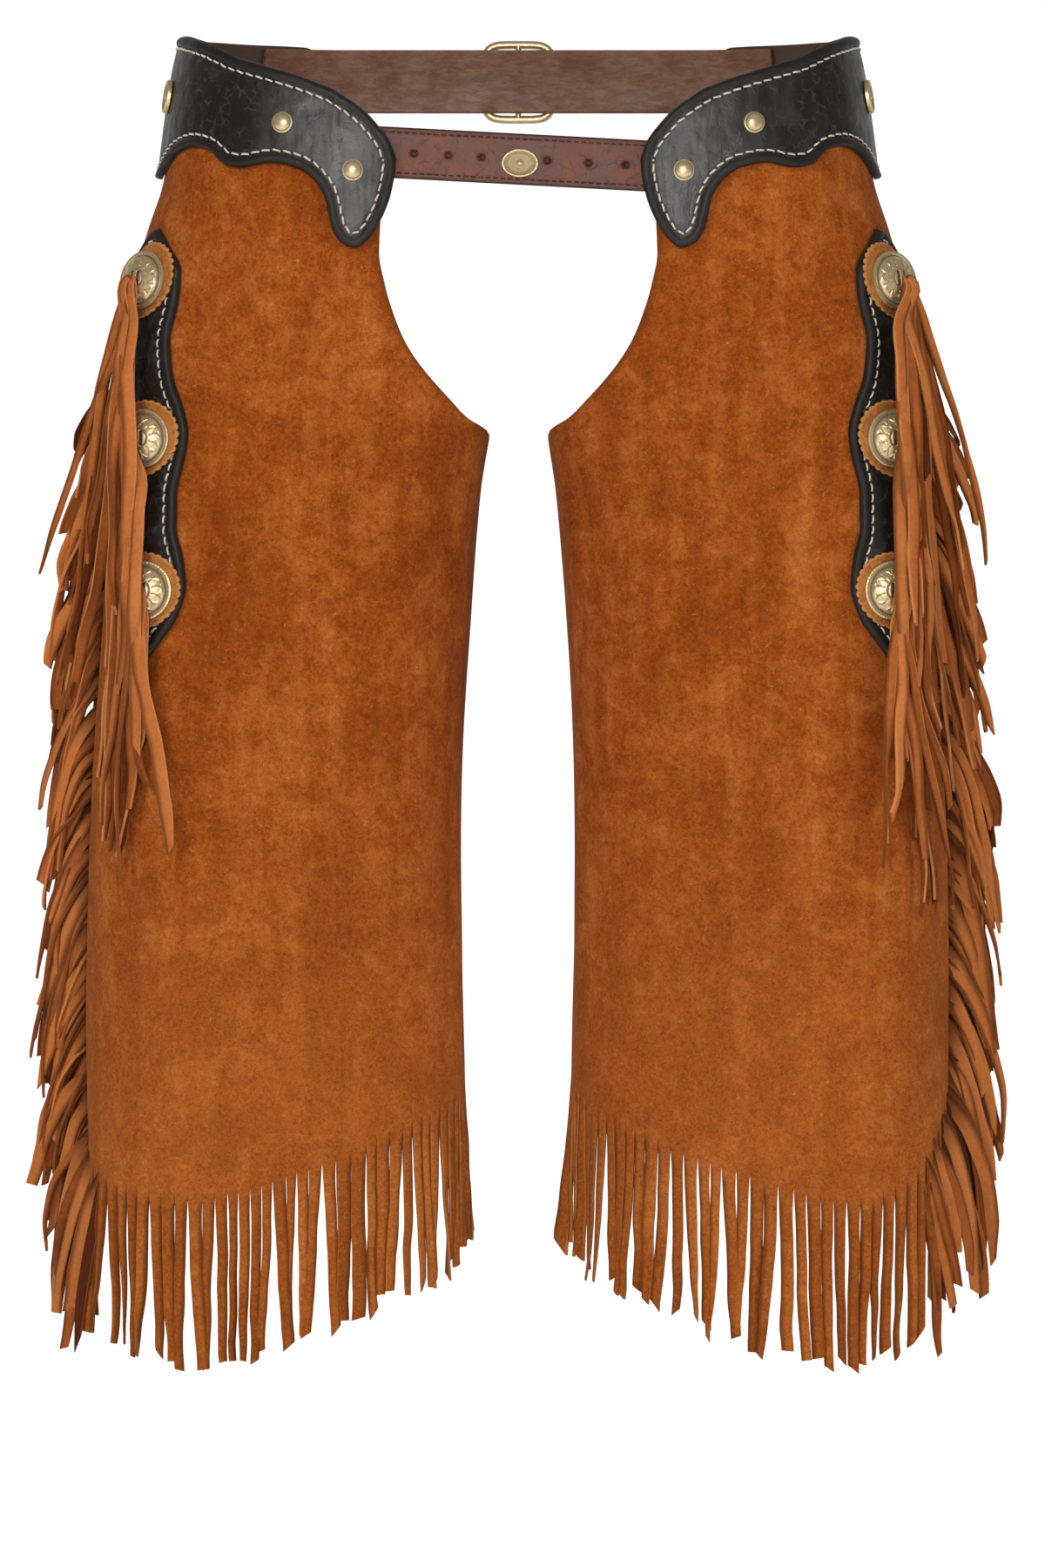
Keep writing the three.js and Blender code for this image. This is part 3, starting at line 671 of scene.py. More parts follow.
def makeStrapLeather():
    look = strapLook
    tree = newMaterial("brownStrapLeather")
    where = tree.place()
    grain = tree.group(grainGroup, {"Vector": where, **look["grain"]})
    patches = tree.noise(where, 38.0, 5.0, 0.65, 0.6)
    colour = tree.layer(look["base"], look["worn"], patches, 0.35, 0.7)
    colour = tree.mix(tree.times(grain["Cracks"], 0.6), colour, look["crack"])
    colour = tree.layer(colour, look["edge"], tree.attribute("rimDistance"), 0.3, 2.4, 0.85, 0.0)
    fibres = tree.noise(tree.stretched(where, 120, 120, 400), 1.0, 4.0, 0.7, 0.5)
    flesh = tree.layer(look["flesh"], look["fibre"], fibres, 0.35, 0.65)
    flesh = tree.layer(flesh, look["base"], patches, 0.4, 0.75, 0.0, 0.6)
    colour = tree.mix(tree.attribute("flesh"), colour, flesh)
    rough = tree.spread(patches, 0.3, 0.7, 0.4, 0.58)
    normal = tree.bump(grain["Height"], 0.5, 0.0004, tree.bump(grain["Dents"], 0.3, 0.0008))
    surface = {"Base Color": colour, "Normal": normal, "Roughness": rough, "Specular IOR Level": 0.45}
    return tree.finish(surface)


tanLook = {
    "dark": (0.23, 0.07, 0.012, 1),
    "light": (0.46, 0.165, 0.036, 1),
    "edge": (0.52, 0.24, 0.08, 1),
    "hole": (0.06, 0.02, 0.006, 1),
    "nap": {"Patch Scale": 70.0, "Grain Scale": 1300.0, "Streaks": 0.0},
}


def makeTanLeather():
    look = tanLook
    tree = newMaterial("tanRosetteLeather")
    nap = tree.group(napGroup, {"Vector": tree.place(), **look["nap"]})
    colour = tree.layer(look["dark"], look["light"], nap["Mottle"], 0.3, 0.65)
    colour = tree.layer(colour, look["edge"], tree.attribute("rim"), 0.93, 1.0, 0.0, 0.7)
    colour = tree.layer(colour, look["hole"], tree.attribute("hole"), 0.2, 0.8)
    normal = tree.bump(nap["Height"], 0.5, 0.0005)
    surface = {"Base Color": colour, "Normal": normal, "Roughness": 0.8, "Specular IOR Level": 0.25}
    return tree.finish(surface)


brassLook = {"bright": (0.97, 0.80, 0.50, 1), "warm": (0.78, 0.53, 0.25, 1), "dark": (0.045, 0.028, 0.013, 1)}


def makeBrass():
    look = brassLook
    tree = newMaterial("antiqueBrass")
    where = tree.place()
    given = {"Vector": where, "Depth": tree.attribute("depth"), "Spot Scale": 420.0}
    tarnish = tree.group(tarnishGroup, given)
    dark, scratches = tarnish["Dark"], tarnish["Scratches"]
    colour = tree.mix(tree.noise(where, 140.0, 3.0), look["warm"], look["bright"])
    colour = tree.mix(tree.times(dark, 0.82), colour, look["dark"])
    metal = tree.spread(dark, 0.0, 1.0, 0.88, 0.4)
    rough = tree.timesPlus(dark, 0.3, tree.spread(scratches, 0.2, 0.8, 0.26, 0.42))
    normal = tree.bump(scratches, 0.12, 0.0002)
    return tree.finish({"Base Color": colour, "Normal": normal, "Metallic": metal, "Roughness": rough})


threadLooks = {  # clean and soiled
    "creamThread": [(0.78, 0.72, 0.6, 1), (0.5, 0.43, 0.33, 1)],
    "brownThread": [(0.07, 0.03, 0.02, 1), (0.03, 0.014, 0.01, 1)],
}


def makeThread(name):
    clean, soiled = threadLooks[name]
    tree = newMaterial(name)
    where = tree.place()
    colour = tree.mix(tree.noise(where, 300.0, 3.0), soiled, clean)
    twist = tree.add("TexWave", {"Vector": where, "Scale": 900.0, "Distortion": 1.0}, bands_direction="DIAGONAL")
    normal = tree.bump(twist.outputs["Fac"], 0.4, 0.0002)
    return tree.finish({"Base Color": colour, "Normal": normal, "Roughness": 0.7})


suede = makeSuede("orangeSuede", hem=False)
hemSuede = makeSuede("hemStrandSuede", hem=True)
# the second number is how much painted highlight the cut edges get, the third how much painted shade the roots get
thongSuede = makeStrandSuede("thongSuede", 0.75, 0.15)
sideSuede = makeStrandSuede("sideStrandSuede", 0.3, 0.85)
blackLeather = makeBlackLeather()
strapLeather = makeStrapLeather()
tanLeather = makeTanLeather()
brass = makeBrass()
creamThread = makeThread("creamThread")
brownThread = makeThread("brownThread")
print("materials made")


# leg panels

panel = {
    "thick": 2.0,
    "outerEdge": 88.0,
    "rows": (62, 112),  # above and below the point between the legs
    "columns": 126,
    "roundedRim": 0.7,
    "crotch": 0.3049,  # how far down that point is
}
innerEdge = tableOf(
    ["z", "around"],
    [-40, -11], [-97, -12.5], [-117, -16], [-138, -22], [-153, -27.5], [-168, -35], [-184, -46],
    [-194, -56], [-205, -86], [-216, -92], [-250, -97], [-320, -100], [-700, -100],
)
hemAround = [-100, -73, -54, -37, -20, -5, 10, 28, 46, 60, 74, 88]
hemHeights = {  # the left corner is cut rounder
    "right": [-572, -583, -597, -609, -624, -636, -645, -648, -641, -633, -622, -604],
    "left": [-572, -583, -597, -609, -624, -636, -645, -649, -634, -607, -589, -572],
}
hems = {which: tableOf(["around", "z"], *zip(hemAround, heights)) for which, heights in hemHeights.items()}
panelTop = tableOf(["around", "z"], [-12, -44], [4, -34], [20, -20], [88, -12])

# soft creases: where each runs round the leg, how it leans in degrees for 100 mm, its ends, half-width and depth
foldNames = ["around", "lean", "top", "low", "half", "depth"]
legFolds = {
    "right": tableOf(
        foldNames,
        [-58, 14, -205, -330, 9, -2.6], [-44, 9, -215, -420, 10, 1.8], [-30, 3, -330, -640, 12, -1.8],
        [-8, -2, -380, -650, 9, 1.5], [14, 1, -300, -600, 14, -1.6], [30, 2, -420, -660, 8, 1.6],
        [50, -2, -360, -650, 9, -1.5], [66, 1, -120, -420, 10, 1.4], [-4, -6, -100, -300, 13, -1.3],
        [22, 5, -90, -260, 12, 1.2], [-70, 0, -350, -620, 9, 1.8], [78, 0, -430, -620, 7, 2.0],
    ),
    "left": tableOf(
        foldNames,
        [-60, 12, -205, -300, 8, -2.2], [-40, 7, -220, -380, 11, 1.7], [-22, 2, -350, -630, 11, -1.7],
        [-2, 1, -300, -560, 13, 1.2], [18, -2, -420, -650, 10, -1.8], [38, 1, -380, -660, 9, 1.7],
        [58, 2, -300, -640, 9, -1.4], [10, -5, -110, -280, 14, -1.2], [34, 3, -100, -300, 12, 1.3],
        [-72, 0, -330, -610, 10, 1.7], [76, -1, -400, -610, 8, 1.8],
    ),
}


def drape(which, around, z):
    total = 0.0
    for k, (start, lean, top, low, half, depth) in enumerate(zip(*legFolds[which].values())):
        t = np.clip((top - z) / (top - low), 0, 1)
        middle = start + lean * (top - z) / 100 + 2.0 * np.sin((z + 40 * k) / 47)
        total = total + depth * bell(around, middle, half) * np.sin(np.pi * t) ** 0.8
    return total + 0.35 * np.sin(around / 7.3 + z / 61 + (1 if which == "left" else 3)) * np.sin(z / 39)


def makePanel(which, side):
    upper, lower = panel["rows"]
    crotch, edge = panel["crotch"], panel["outerEdge"]
    down = [[0, 0.0015], np.linspace(0.004, crotch, upper)[:-1], np.linspace(crotch, 0.9955, lower), [0.998, 1]]
    across = edged(panel["columns"], [0, 0.0018, 0.004, 0.008])
    t, s = np.meshgrid(np.concatenate(down), across, indexing="ij")
    top = column(panelTop, "around", "z", -12 + (edge + 12) * s)
    z = top + (column(hems[which], "around", "z", -100 + (edge + 100) * s) - top) * t
    inner = column(innerEdge, "z", "around", z)
    around = inner + (edge - inner) * s
    perDegree = degreeLength(side, around, z)
    toInner, toOuter = (around - inner) * perDegree, (edge - around) * perDegree
    dropped = panel["roundedRim"] * np.clip(1 - np.minimum(toInner, toOuter) / 1.2, 0, 1) ** 2
    lift = drape(which, around, z)
    face = onLeg(side, around, z, lift - dropped)
    flesh = onLeg(side, around, z, lift - panel["thick"] + dropped * 0.4)
    made = shell("leg_panel_suede_" + which, face, flesh, side, suede, rimDistance=np.minimum(toInner, 40.0))
    givePart(made, "suede", "leg_panel_" + which)
    return made


panels = {which: makePanel(which, side) for which, side in sides.items()}
print("leg panels made")


# hem fringe, slit from the panels' lower edge

hemStrands = {"pitch": (6.4, 9.4), "gap": (0.3, 1.5), "long": (94, 104), "thick": 1.9, "steps": 22}
hemSeeds = {"right": 11, "left": 23}
strandAcross = np.array([-1, -0.93, -0.5, 0, 0.5, 0.93, 1])
strandDrop = np.array([0.55, 0.12, 0, 0, 0, 0.12, 0.55])


# one strand, its root as wide as its share of the edge and flush with the panel above it
def addSlitStrand(bundle, which, low, high, gap, length, maker):
    side = sides[which]
    t = np.linspace(0, 1, hemStrands["steps"])[:, None] ** 1.15
    middle = (low + high) / 2
    perDegree = float(degreeLength(side, middle, float(column(hems[which], "around", "z", middle))))
    slit = gap * np.clip(t / 0.16, 0, 1) ** 0.8
    share = (high - low) / 2 - slit / 2 / perDegree
    narrowed = share * np.interp(t, [0, 0.2, 1], [1, 1, maker.uniform(0.8, 1.0)])
    ripple = 0.35 * slowNoise(t * 2.2, maker.random()) * t / perDegree
    around = middle + narrowed * strandAcross + ripple
    root = column(hems[which], "around", "z", around)
    z = root + (maker.gauss(0, 1.5) * strandAcross - length) * t
    fan = 7.0 * np.clip((middle - 50) / 38, 0, 1) - 4.0 * np.clip((-60 - middle) / 40, 0, 1)
    sway = ((fan + maker.gauss(0, 2.8)) * t**1.5 + 1.5 * slowNoise(t * 0.8, maker.random()) * t) / perDegree
    twist = maker.gauss(0, 0.5) * t**1.2 + maker.choice([0, 0, 0.9, -0.9]) * t**2
    curl = maker.gauss(0.6, 2.0) * t**1.5 + 1.1 * slowNoise(t, maker.random()) * t
    tilt = np.sin(twist) * narrowed * perDegree * strandAcross
    place = middle + (around - middle) * np.cos(twist) + sway
    lift = drape(which, around, root) + np.clip(curl, -4, 5.5) + tilt
    lift = lift + maker.gauss(-0.5, 0.7) * t * strandAcross**2
    rounded = strandDrop * np.clip(t * 8, 0, 1)
    face = onLeg(side, place, z, lift - rounded)
    flesh = onLeg(side, place, z, lift - hemStrands["thick"] + 0.5 * rounded)
    rim = strandAcross * np.clip(t * 10, 0, 1)
    tone = 0.5 + (maker.uniform(0, 1) - 0.5) * np.clip(t * 3, 0, 1)
    bundle.add(*shellMesh(face, flesh, side > 0), **shellValues(face.shape[:2], rim=rim, tip=t, tone=tone))


def makeHemFringe(which, side):
    maker = random.Random(hemSeeds[which])
    bundle = Bundle()
    edges = [-100.0]
    while edges[-1] < panel["outerEdge"]:
        z = float(column(hems[which], "around", "z", edges[-1]))
        perDegree = float(degreeLength(side, edges[-1] + 2, z))
        edges.append(edges[-1] + maker.uniform(*hemStrands["pitch"]) / perDegree)
    edges = np.array(edges)
    edges = -100 + (edges + 100) * (panel["outerEdge"] + 100) / (edges[-1] + 100)
    for low, high in zip(edges[:-1], edges[1:]):
        gap, length = maker.uniform(*hemStrands["gap"]), maker.uniform(*hemStrands["long"])
        addSlitStrand(bundle, which, low, high, gap, length, maker)
    made = bundle.finish("hem_strands_" + which, hemSuede)
    givePart(made, "suede", "hem_fringe_" + which)
    on = ["yoke_leather_" + which]
    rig.sheet(panels[which], flat=(0.40, 0.74), held="hung", rests_on=on, area=0.22, with_pieces=[made])


for which, side in sides.items():
    makeHemFringe(which, side)
print("hem fringe made")


# side fringe, sewn behind the panel's outer edge

sideStrands = {
    "from": -176,
    "to": -640,
    "pitch": 3.8,
    "half": (3.2, 5.0),
    "long": (68, 124),
    "turn": 62,
    "thick": 1.7,
    "steps": 20,
    "band": 11,  # the uncut edge that is sewn behind the panel
}
sideLayers = [(-0.1, -4.2, -0.5), (0.0, -1.0, 0.1), (0.1, 2.6, 0.75)]  # lean, how far forward, and a tone that is painted darker for the layers further back, as shade
sideSeeds = {"right": 37, "left": 41}


def makeSideFringe(which, side):
    spec, hem, edge = sideStrands, hems[which], panel["outerEdge"]
    maker = random.Random(sideSeeds[which])
    bundle = Bundle()
    turn = math.radians(spec["turn"])
    out = np.array([side * math.sin(turn), math.cos(turn), 0])
    front = np.array([side * math.cos(turn), -math.sin(turn), 0])
    corner = float(column(hem, "around", "z", edge))
    rounded = hem["z"][7:], hem["around"][7:]  # from the lowest point of the hem out to the edge
    band = onLeg(side, edge, np.linspace(spec["from"] + 4, corner + 4, 60), -3.4) + out * 1.5 * mm
    # its tip values stay near 0, so the whole band takes the painted root shade from behind the panel's edge
    ribbon(bundle, band, spec["band"] / 2, front, spec["thick"], tone=0.2, lastTip=0.1)
    bundle.cut.clear()  # the strands' own lengths are counted from the band
    t = np.linspace(0, 1, spec["steps"])
    for layer, (lean, startOut, layerShade) in enumerate(sideLayers):
        z0 = spec["from"] - spec["pitch"] * layer
        while z0 > spec["to"]:
            past = max(0.0, corner - z0) / (corner - spec["to"])  # how far round the lower corner
            grown = min(1.0, 0.5 + (spec["from"] - z0) / 170)
            step = (maker.uniform(*spec["long"]) + 20 * past) * grown * (1 - 0.15 * past) / (len(t) - 1)
            first = math.radians(maker.uniform(2, 42) + 25 * past) + lean
            last = math.radians(maker.uniform(64, 96))
            angle = first + (last - first) * t ** maker.uniform(0.35, 0.8)
            angle = angle + 0.16 * slowNoise(t, maker.random())
            steps = np.stack([np.cos(angle[:-1]), np.sin(angle[:-1])])
            reach, drop = np.concatenate([[[0], [0]], np.cumsum(steps, axis=1) * step], axis=1)
            reach = reach * min(1, maker.uniform(24, 42) * (1 - 0.4 * past) / reach.max())
            onEdge = np.interp(z0 + 6 * past, *rounded) if past > 0 else edge
            root = onLeg(side, onEdge - 1.4, z0, -2.9 - 0.7 * min(1, 3 * past))
            sway = startOut * (1 - past) * np.clip(t * 4, 0, 1) + maker.gauss(0, 1.0) * t
            sway = sway + 1.2 * slowNoise(t, maker.random()) * t
            line = root + (out * reach[:, None] + front * sway[:, None]) * mm
            line[:, 2] -= drop * mm
            ends = [0.8, 1, 0.95, maker.uniform(0.4, 0.85)]
            half = maker.uniform(*spec["half"]) * np.interp(t, [0, 0.15, 0.8, 1], ends)
            twist = (maker.gauss(0, 0.45) + maker.gauss(0, 1.0) * t) * (1 - 0.6 * past)
            across = unit(np.cross(unit(np.gradient(line, axis=0)), front))
            face = front * np.cos(twist)[:, None] + across * np.sin(twist)[:, None]
            # a random tone, with painted shade on the layers further back
            tone = layerShade + maker.uniform(0.0, 0.5)
            cup = maker.choice((-1, 1)) * maker.uniform(0.05, 0.28)
            ribbon(bundle, line, half, face, spec["thick"], maker.gauss(0, 3), tone, cup, maker.choice((-1, 1)))
            z0 -= spec["pitch"] * 3 * maker.uniform(0.75, 1.25)
    made = bundle.finish("side_strands_" + which, sideSuede)
    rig.sheet(made, held="hung", rests_on=["leg_panel_suede_" + which], **bundle.cutSize())
    givePart(made, "suede", "side_fringe_" + which)


for which, side in sides.items():
    makeSideFringe(which, side)
print("side fringe made")


# scalloped black leather: hip yokes and concho strips

layerGap = 1.0
yoke = {"thick": 3.4, "columns": 230, "rows": 50, "border": 6.0, "stitchInset": 7.4}
yokeEdges = tableOf(
    ["around", "top", "bottom"],
    [-15.5, -44, -53], [-14.4, -39, -66], [-12, -31, -79], [-8.5, -24, -90], [-4.5, -17, -95.5], [0, -11, -93],
    [3.4, -7, -85], [7, -2.6, -65], [11, 0.5, -55], [16, 4.2, -48.5], [23.5, 9, -45.5], [31, 13.5, -48],
    [36, 16.5, -46.5], [42.5, 22, -37], [49, 26.5, -34.5], [56, 29.5, -37], [64, 32, -43.5], [75, 33.5, -51],
    [86, 34, -50], [97, 34.5, -43], [108, 35, -35.5], [118, 35.5, -34], [130, 36, -38.5], [140, 36, -37],
    [150, 36, -27], [160, 35.5, -15], [166, 31, -7],
)
strip = {"thick": 2.8, "columns": 46, "rows": 190, "border": 5.6, "stitchInset": 7.1}
stripShape = tableOf(
    ["z", "around", "half"],
    [-82, 57, 1.6], [-90, 56.3, 13], [-108, 54.8, 28], [-124, 53, 26], [-150, 50.5, 20], [-168, 49, 21],
    [-190, 47.5, 27], [-203, 47, 29.5], [-216, 46, 27], [-240, 44.5, 21], [-258, 44, 21], [-276, 43.5, 25],
    [-293, 43.2, 27], [-310, 42.6, 22], [-326, 41.6, 10], [-336, 41, 1.6],
)
stitch = {"long": 4.6, "gap": 1.6, "radius": 0.55}


def distanceTo(points, outline):
    tree = kdtree.KDTree(len(outline))
    for i, p in enumerate(outline):
        tree.insert(p, i)
    tree.balance()
    return np.array([tree.find(p)[2] for p in points]) / mm


def denser(loop, times):  # more points on each stretch of a closed loop
    steps = (np.roll(loop, -1, axis=0) - loop)[:, None] * (np.arange(times) / times)[None, :, None]
    return (loop[:, None] + steps).reshape(-1, loop.shape[1])


# a scalloped piece of leather with a raised, rounded border and a groove that its stitches lie in
def tooledLeather(name, side, around, z, spec, polish):
    flat = onLeg(side, around, z, layerGap)
    ring = [np.concatenate([a[0], a[1:, -1], a[-1, -2::-1], a[-2:0:-1, 0]]) for a in (around, z)]
    outline = denser(onLeg(side, *ring, layerGap), 3)
    far = distanceTo(flat.reshape(-1, 3), outline).reshape(around.shape)
    border = spec["border"]
    swell = 1.2 * np.sin(np.pi * np.clip(far / border, 0, 1)) ** 0.8
    pillow = 0.25 * np.clip((far - border - 2) / 8, 0, 1)
    groove = 0.8 * bell(far, border + 0.7, 1)
    lift = spec["thick"] * (0.25 + 0.75 * quarterRound(far, 2.2)) + swell - groove + pillow
    face = onLeg(side, around, z, layerGap + lift)
    made = shell(name, face, flat, side, blackLeather, rimDistance=far, polish=polish)
    return made, np.stack(ring, -1)


# a loop that runs inside a closed outline of (degrees round, height) by a distance in millimetres
def insetLoop(side, loop, inset):
    loop = denser(loop, 2)
    points = onLeg(side, *loop.T, 0)
    along = unit(np.roll(points, -2, axis=0) - np.roll(points, 2, axis=0))
    inward = np.cross(facing(side, *loop.T), along)
    level = unit(onLeg(side, loop[:, 0] + 1, loop[:, 1], 0) - points)
    step = np.stack([(inward * level).sum(-1) / degreeLength(side, *loop.T), inward[:, 2]], -1)
    centre = points.mean(axis=0)

    def reach(moved):
        return np.linalg.norm(onLeg(side, *moved.T, 0) - centre, axis=-1).sum()

    moved = min((loop + sign * inset * step for sign in (1, -1)), key=reach)
    far = distanceTo(onLeg(side, *moved.T, 0), denser(points, 3))
    moved = moved[far > inset * 0.94]
    for _ in range(3):
        moved = (np.roll(moved, 1, axis=0) + 2 * moved + np.roll(moved, -1, axis=0)) / 4
    return moved


# one stitch: a short thread that dips into its holes at both ends
def addStitch(bundle, start, end, normal, radius, tone):
    height = np.array([-0.9, 0.1, 0.62, 0.75, 0.62, 0.1, -0.9]) * radius * mm
    line = start + (end - start) * np.linspace(0, 1, 7)[:, None] + normal * height[:, None]
    across = unit(np.cross(normal, end - start))
    points = tube(line, across * radius * mm, normal * radius * 0.8 * mm, 6)
    bundle.add(points, tubeFaces(7, 6), tone=tone)


def stitchLoop(bundle, side, loop, out, seed):
    maker = random.Random(seed)
    closed = np.concatenate([loop, loop[:1]])
    length = np.linalg.norm(np.diff(onLeg(side, *closed.T, 0), axis=0), axis=1)
    length = np.concatenate([[0], np.cumsum(length)]) / mm
    count = max(3, round(length[-1] / (stitch["long"] + stitch["gap"])))
    for first in np.arange(count) * length[-1] / count:
        ends = np.array([first, first + stitch["long"]])
        around, z = (np.interp(ends, length, values) for values in closed.T)
        start, end = onLeg(side, around, z, out)
        normal = facing(side, around.mean(), z.mean())
        slant = np.cross(normal, unit(end - start)) * maker.uniform(0.15, 0.4) * mm
        radius = stitch["radius"] * maker.uniform(0.9, 1.1)
        addStitch(bundle, start + slant, end - slant, normal, radius, maker.random())


def finishTooled(made, loop, side, spec, node, threadName, seed, **sheet):
    givePart(made, "black_leather", node)
    bundle = Bundle()
    path = insetLoop(side, loop, spec["stitchInset"])
    stitchLoop(bundle, side, path, layerGap + spec["thick"] + 0.1, seed + side)
    thread = bundle.finish(threadName, creamThread)
    givePart(thread, "black_leather")
    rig.sheet(made, with_pieces=[thread], **sheet)


def makeYoke(which, side):
    share = np.linspace(0, 1, yoke["columns"]) ** 1.35
    low, high = yokeEdges["around"][[0, -1]]
    nose = low + (high - low) * share
    rows = edged(yoke["rows"], [0, 0.006, 0.014, 0.026])[:, None]
    around = nose + 0 * rows
    top, bottom = (column(yokeEdges, "around", edge, nose) for edge in ("top", "bottom"))
    z = bottom + (top - bottom) * rows
    # painted sheen, strongest at the yoke's front tip and gone 30 degrees round from it
    polish = np.clip((30 - around) / 30, 0, 1) ** 0.8
    made, loop = tooledLeather("yoke_leather_" + which, side, around, z, yoke, polish)
    sheet = {"flat": (0.13, 0.37), "held": "hung", "rests_on": ["root"], "area": 0.026}
    finishTooled(made, loop, side, yoke, "yoke_" + which, "yoke_stitches_" + which, 5, **sheet)


def makeStrip(which, side):
    z = np.linspace(stripShape["z"][0], stripShape["z"][-1], strip["rows"])[:, None]
    middle = column(stripShape, "z", "around", z)
    half = column(stripShape, "z", "half", z) / degreeLength(side, middle, z)
    around = middle + half * (2 * edged(strip["columns"], [0, 0.008, 0.018, 0.034]) - 1)
    z = z + 0 * around
    made, loop = tooledLeather("concho_strip_leather_" + which, side, around, z, strip, 0)
    sheet = {"flat": (0.062, 0.256), "held": "laid", "rests_on": ["leg_panel_suede_" + which], "area": 0.0122}
    finishTooled(made, loop, side, strip, "concho_strip_" + which, "strip_stitches_" + which, 9, **sheet)


for which, side in sides.items():
    makeYoke(which, side)
    makeStrip(which, side)
print("yokes and concho strips made")


# rosettes, conchos, studs and buttons

rosette = {"radius": 22.2, "thick": 1.8, "pinks": 30, "holes": 20, "inward": 2.5, "sectors": 240}
concho = {"radius": 17.2, "rim": 1.6, "dome": 6.6, "beads": 56, "lean": 14.0, "lift": 2.0, "inward": 2.6}
conchoHeights = {"top": -113, "middle": -206, "low": -295}
stud = {"radius": 6.2, "tall": 3.0, "lip": 0.9, "depth": 0.5}
studPlaces = {"upper": (21, -22), "lower": (-0.8, -50)}
button = {"radius": 10.2, "rim": 1.9, "dish": 1.5, "knob": 2.3, "knobTall": 2.6}
hipButtonPlace = (69, -3)


# a round plate of rings of points: height(r, turn) in millimetres above its seat, and how far out each point is
def roundPlate(radii, sectors, height, reach=lambda r, a: r):
    turns = np.arange(sectors) / sectors * 2 * np.pi
    r, a = np.meshgrid(radii, turns, indexing="ij")
    r = reach(r, a)
    points = np.stack([r * np.cos(a), r * np.sin(a), height(r, a)], -1)
    points = np.concatenate([points, points[-1:] * (1, 1, 0)]).reshape(-1, 3)
    quads = tubeFaces(len(radii) + 1, sectors, capped=False)
    faces = [[a, b, c, d] for a, d, c, b in quads]
    faces += [list(range(sectors))[::-1], list(range(len(points) - sectors, len(points)))[::-1]]
    return points, faces, np.hypot(points[:, 0], points[:, 1])


def seatMatrix(side, around, z, out):
    normal = Vector(facing(side, around, z).tolist())
    across = Vector((0, 0, 1)).cross(normal).normalized()
    made = Matrix((across, normal.cross(across), normal)).transposed().to_4x4()
    made.translation = Vector(onLeg(side, around, z, out).tolist())
    return made


def placed(points, matrix):
    return (np.asarray(points) * mm) @ np.array(matrix.to_3x3()).T + np.array(matrix.translation)


def castPiece(name, node, points, faces, matrix, depth):
    givePart(makeObject(name, placed(points, matrix), faces, brass, {"depth": depth}), "brass", node)


# the rosette lies on the strip, and its concho leans outward on it
def makeRosette(which, side, level):
    radius, sectors = rosette["radius"], rosette["sectors"]
    z0 = conchoHeights[level]
    around0 = float(column(stripShape, "z", "around", z0))
    perDegree = float(degreeLength(side, around0, z0))
    around0 -= rosette["inward"] / perDegree
    seatOut = layerGap + strip["thick"] + 0.7
    radii = np.concatenate([np.linspace(2, 18, 9), np.linspace(18.6, radius, 11)])

    def pinked(r, a):
        wave = np.abs(np.sin(a * rosette["pinks"] / 2)) ** 0.8
        return r + np.clip((r - 18) / 4, 0, 1) * (wave - 0.55) * 1.1

    def height(r, a):
        return rosette["thick"] * (1 - np.clip((r - 21.6) / 1.4, 0, 1) ** 2 * 0.5)

    points, faces, far = roundPlate(radii, sectors, height, pinked)
    turns = np.arctan2(points[:, 1], points[:, 0])
    place = np.abs(((turns / (2 * np.pi) * rosette["holes"]) % 1) - 0.5) * 2 * np.pi * far / rosette["holes"]
    hole = 0.5 * np.exp(-((place / 0.7) ** 2 + ((far - 19.8) / 0.7) ** 2) ** 2)
    hole[-sectors:] = 0
    lift = points[:, 2] - 0.9 * hole + 0.4 * np.sin(turns * 2 + side) * np.clip((far - 15) / 8, 0, 1)
    laid = onLeg(side, around0 + points[:, 0] / perDegree, z0 + points[:, 1], seatOut + lift)
    if side < 0:
        faces = [f[::-1] for f in faces]
    look = {"rim": far / radius, "hole": hole}
    made = makeObject(f"rosette_tan_{level}_{which}", laid, faces, tanLeather, look)
    givePart(made, "rosettes", f"rosette_{level}_{which}")
    cut = 2 * radius * mm
    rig.sheet(made, flat=(cut, cut), held="laid", rests_on=["concho_strip_leather_" + which], area=0.785 * cut**2)
    around1 = around0 - concho["inward"] / perDegree
    flat = seatMatrix(side, around1, z0, seatOut + rosette["thick"] + concho["lift"])
    seat = Matrix.Rotation(math.radians(-side * concho["lean"]), 4, "Z") @ flat
    seat.translation = flat.translation
    return seat


# a cast dome: roped rim, beaded groove, petals round a slotted crown
def conchoDome(r):
    top = concho["rim"] + concho["dome"] * (1 - (np.clip(r, 0, 15) / 15) ** 2) ** 0.8 * 0.95
    return np.where(r > 15, concho["rim"] * 0.8, top)


def conchoHeight(r, a):
    rope = 0.55 * np.abs(np.sin(a * concho["beads"] / 2 + r * 0.9)) * bell(r, 16.1, 0.9)
    petalEdge = 8.2 + 4.6 * np.abs(np.cos(a * 6)) ** 0.6
    petal = 0.55 * bell(r, petalEdge, 0.55) * (r > 6) * (r < 13.8)
    acrossVein = ((a * 12 / (2 * np.pi)) % 1 - 0.5) * 2 * np.pi * r / 12
    veins = -0.32 * bell(acrossVein, 0, 0.45) * (r > 7) * (r < 12.5)
    grooves = -0.8 * bell(r, 14.4, 0.55) - 0.45 * bell(r, 5.6, 0.45)
    x, y = np.abs(r * np.cos(a)), np.abs(r * np.sin(a))
    slots = -3.2 * np.exp(-((np.maximum(y - 3.6, 0) / 0.7) ** 2 + ((x - 2.2) / 0.85) ** 2) ** 2)
    return conchoDome(r) + rope + petal + veins + grooves + slots * (r < 6.5)


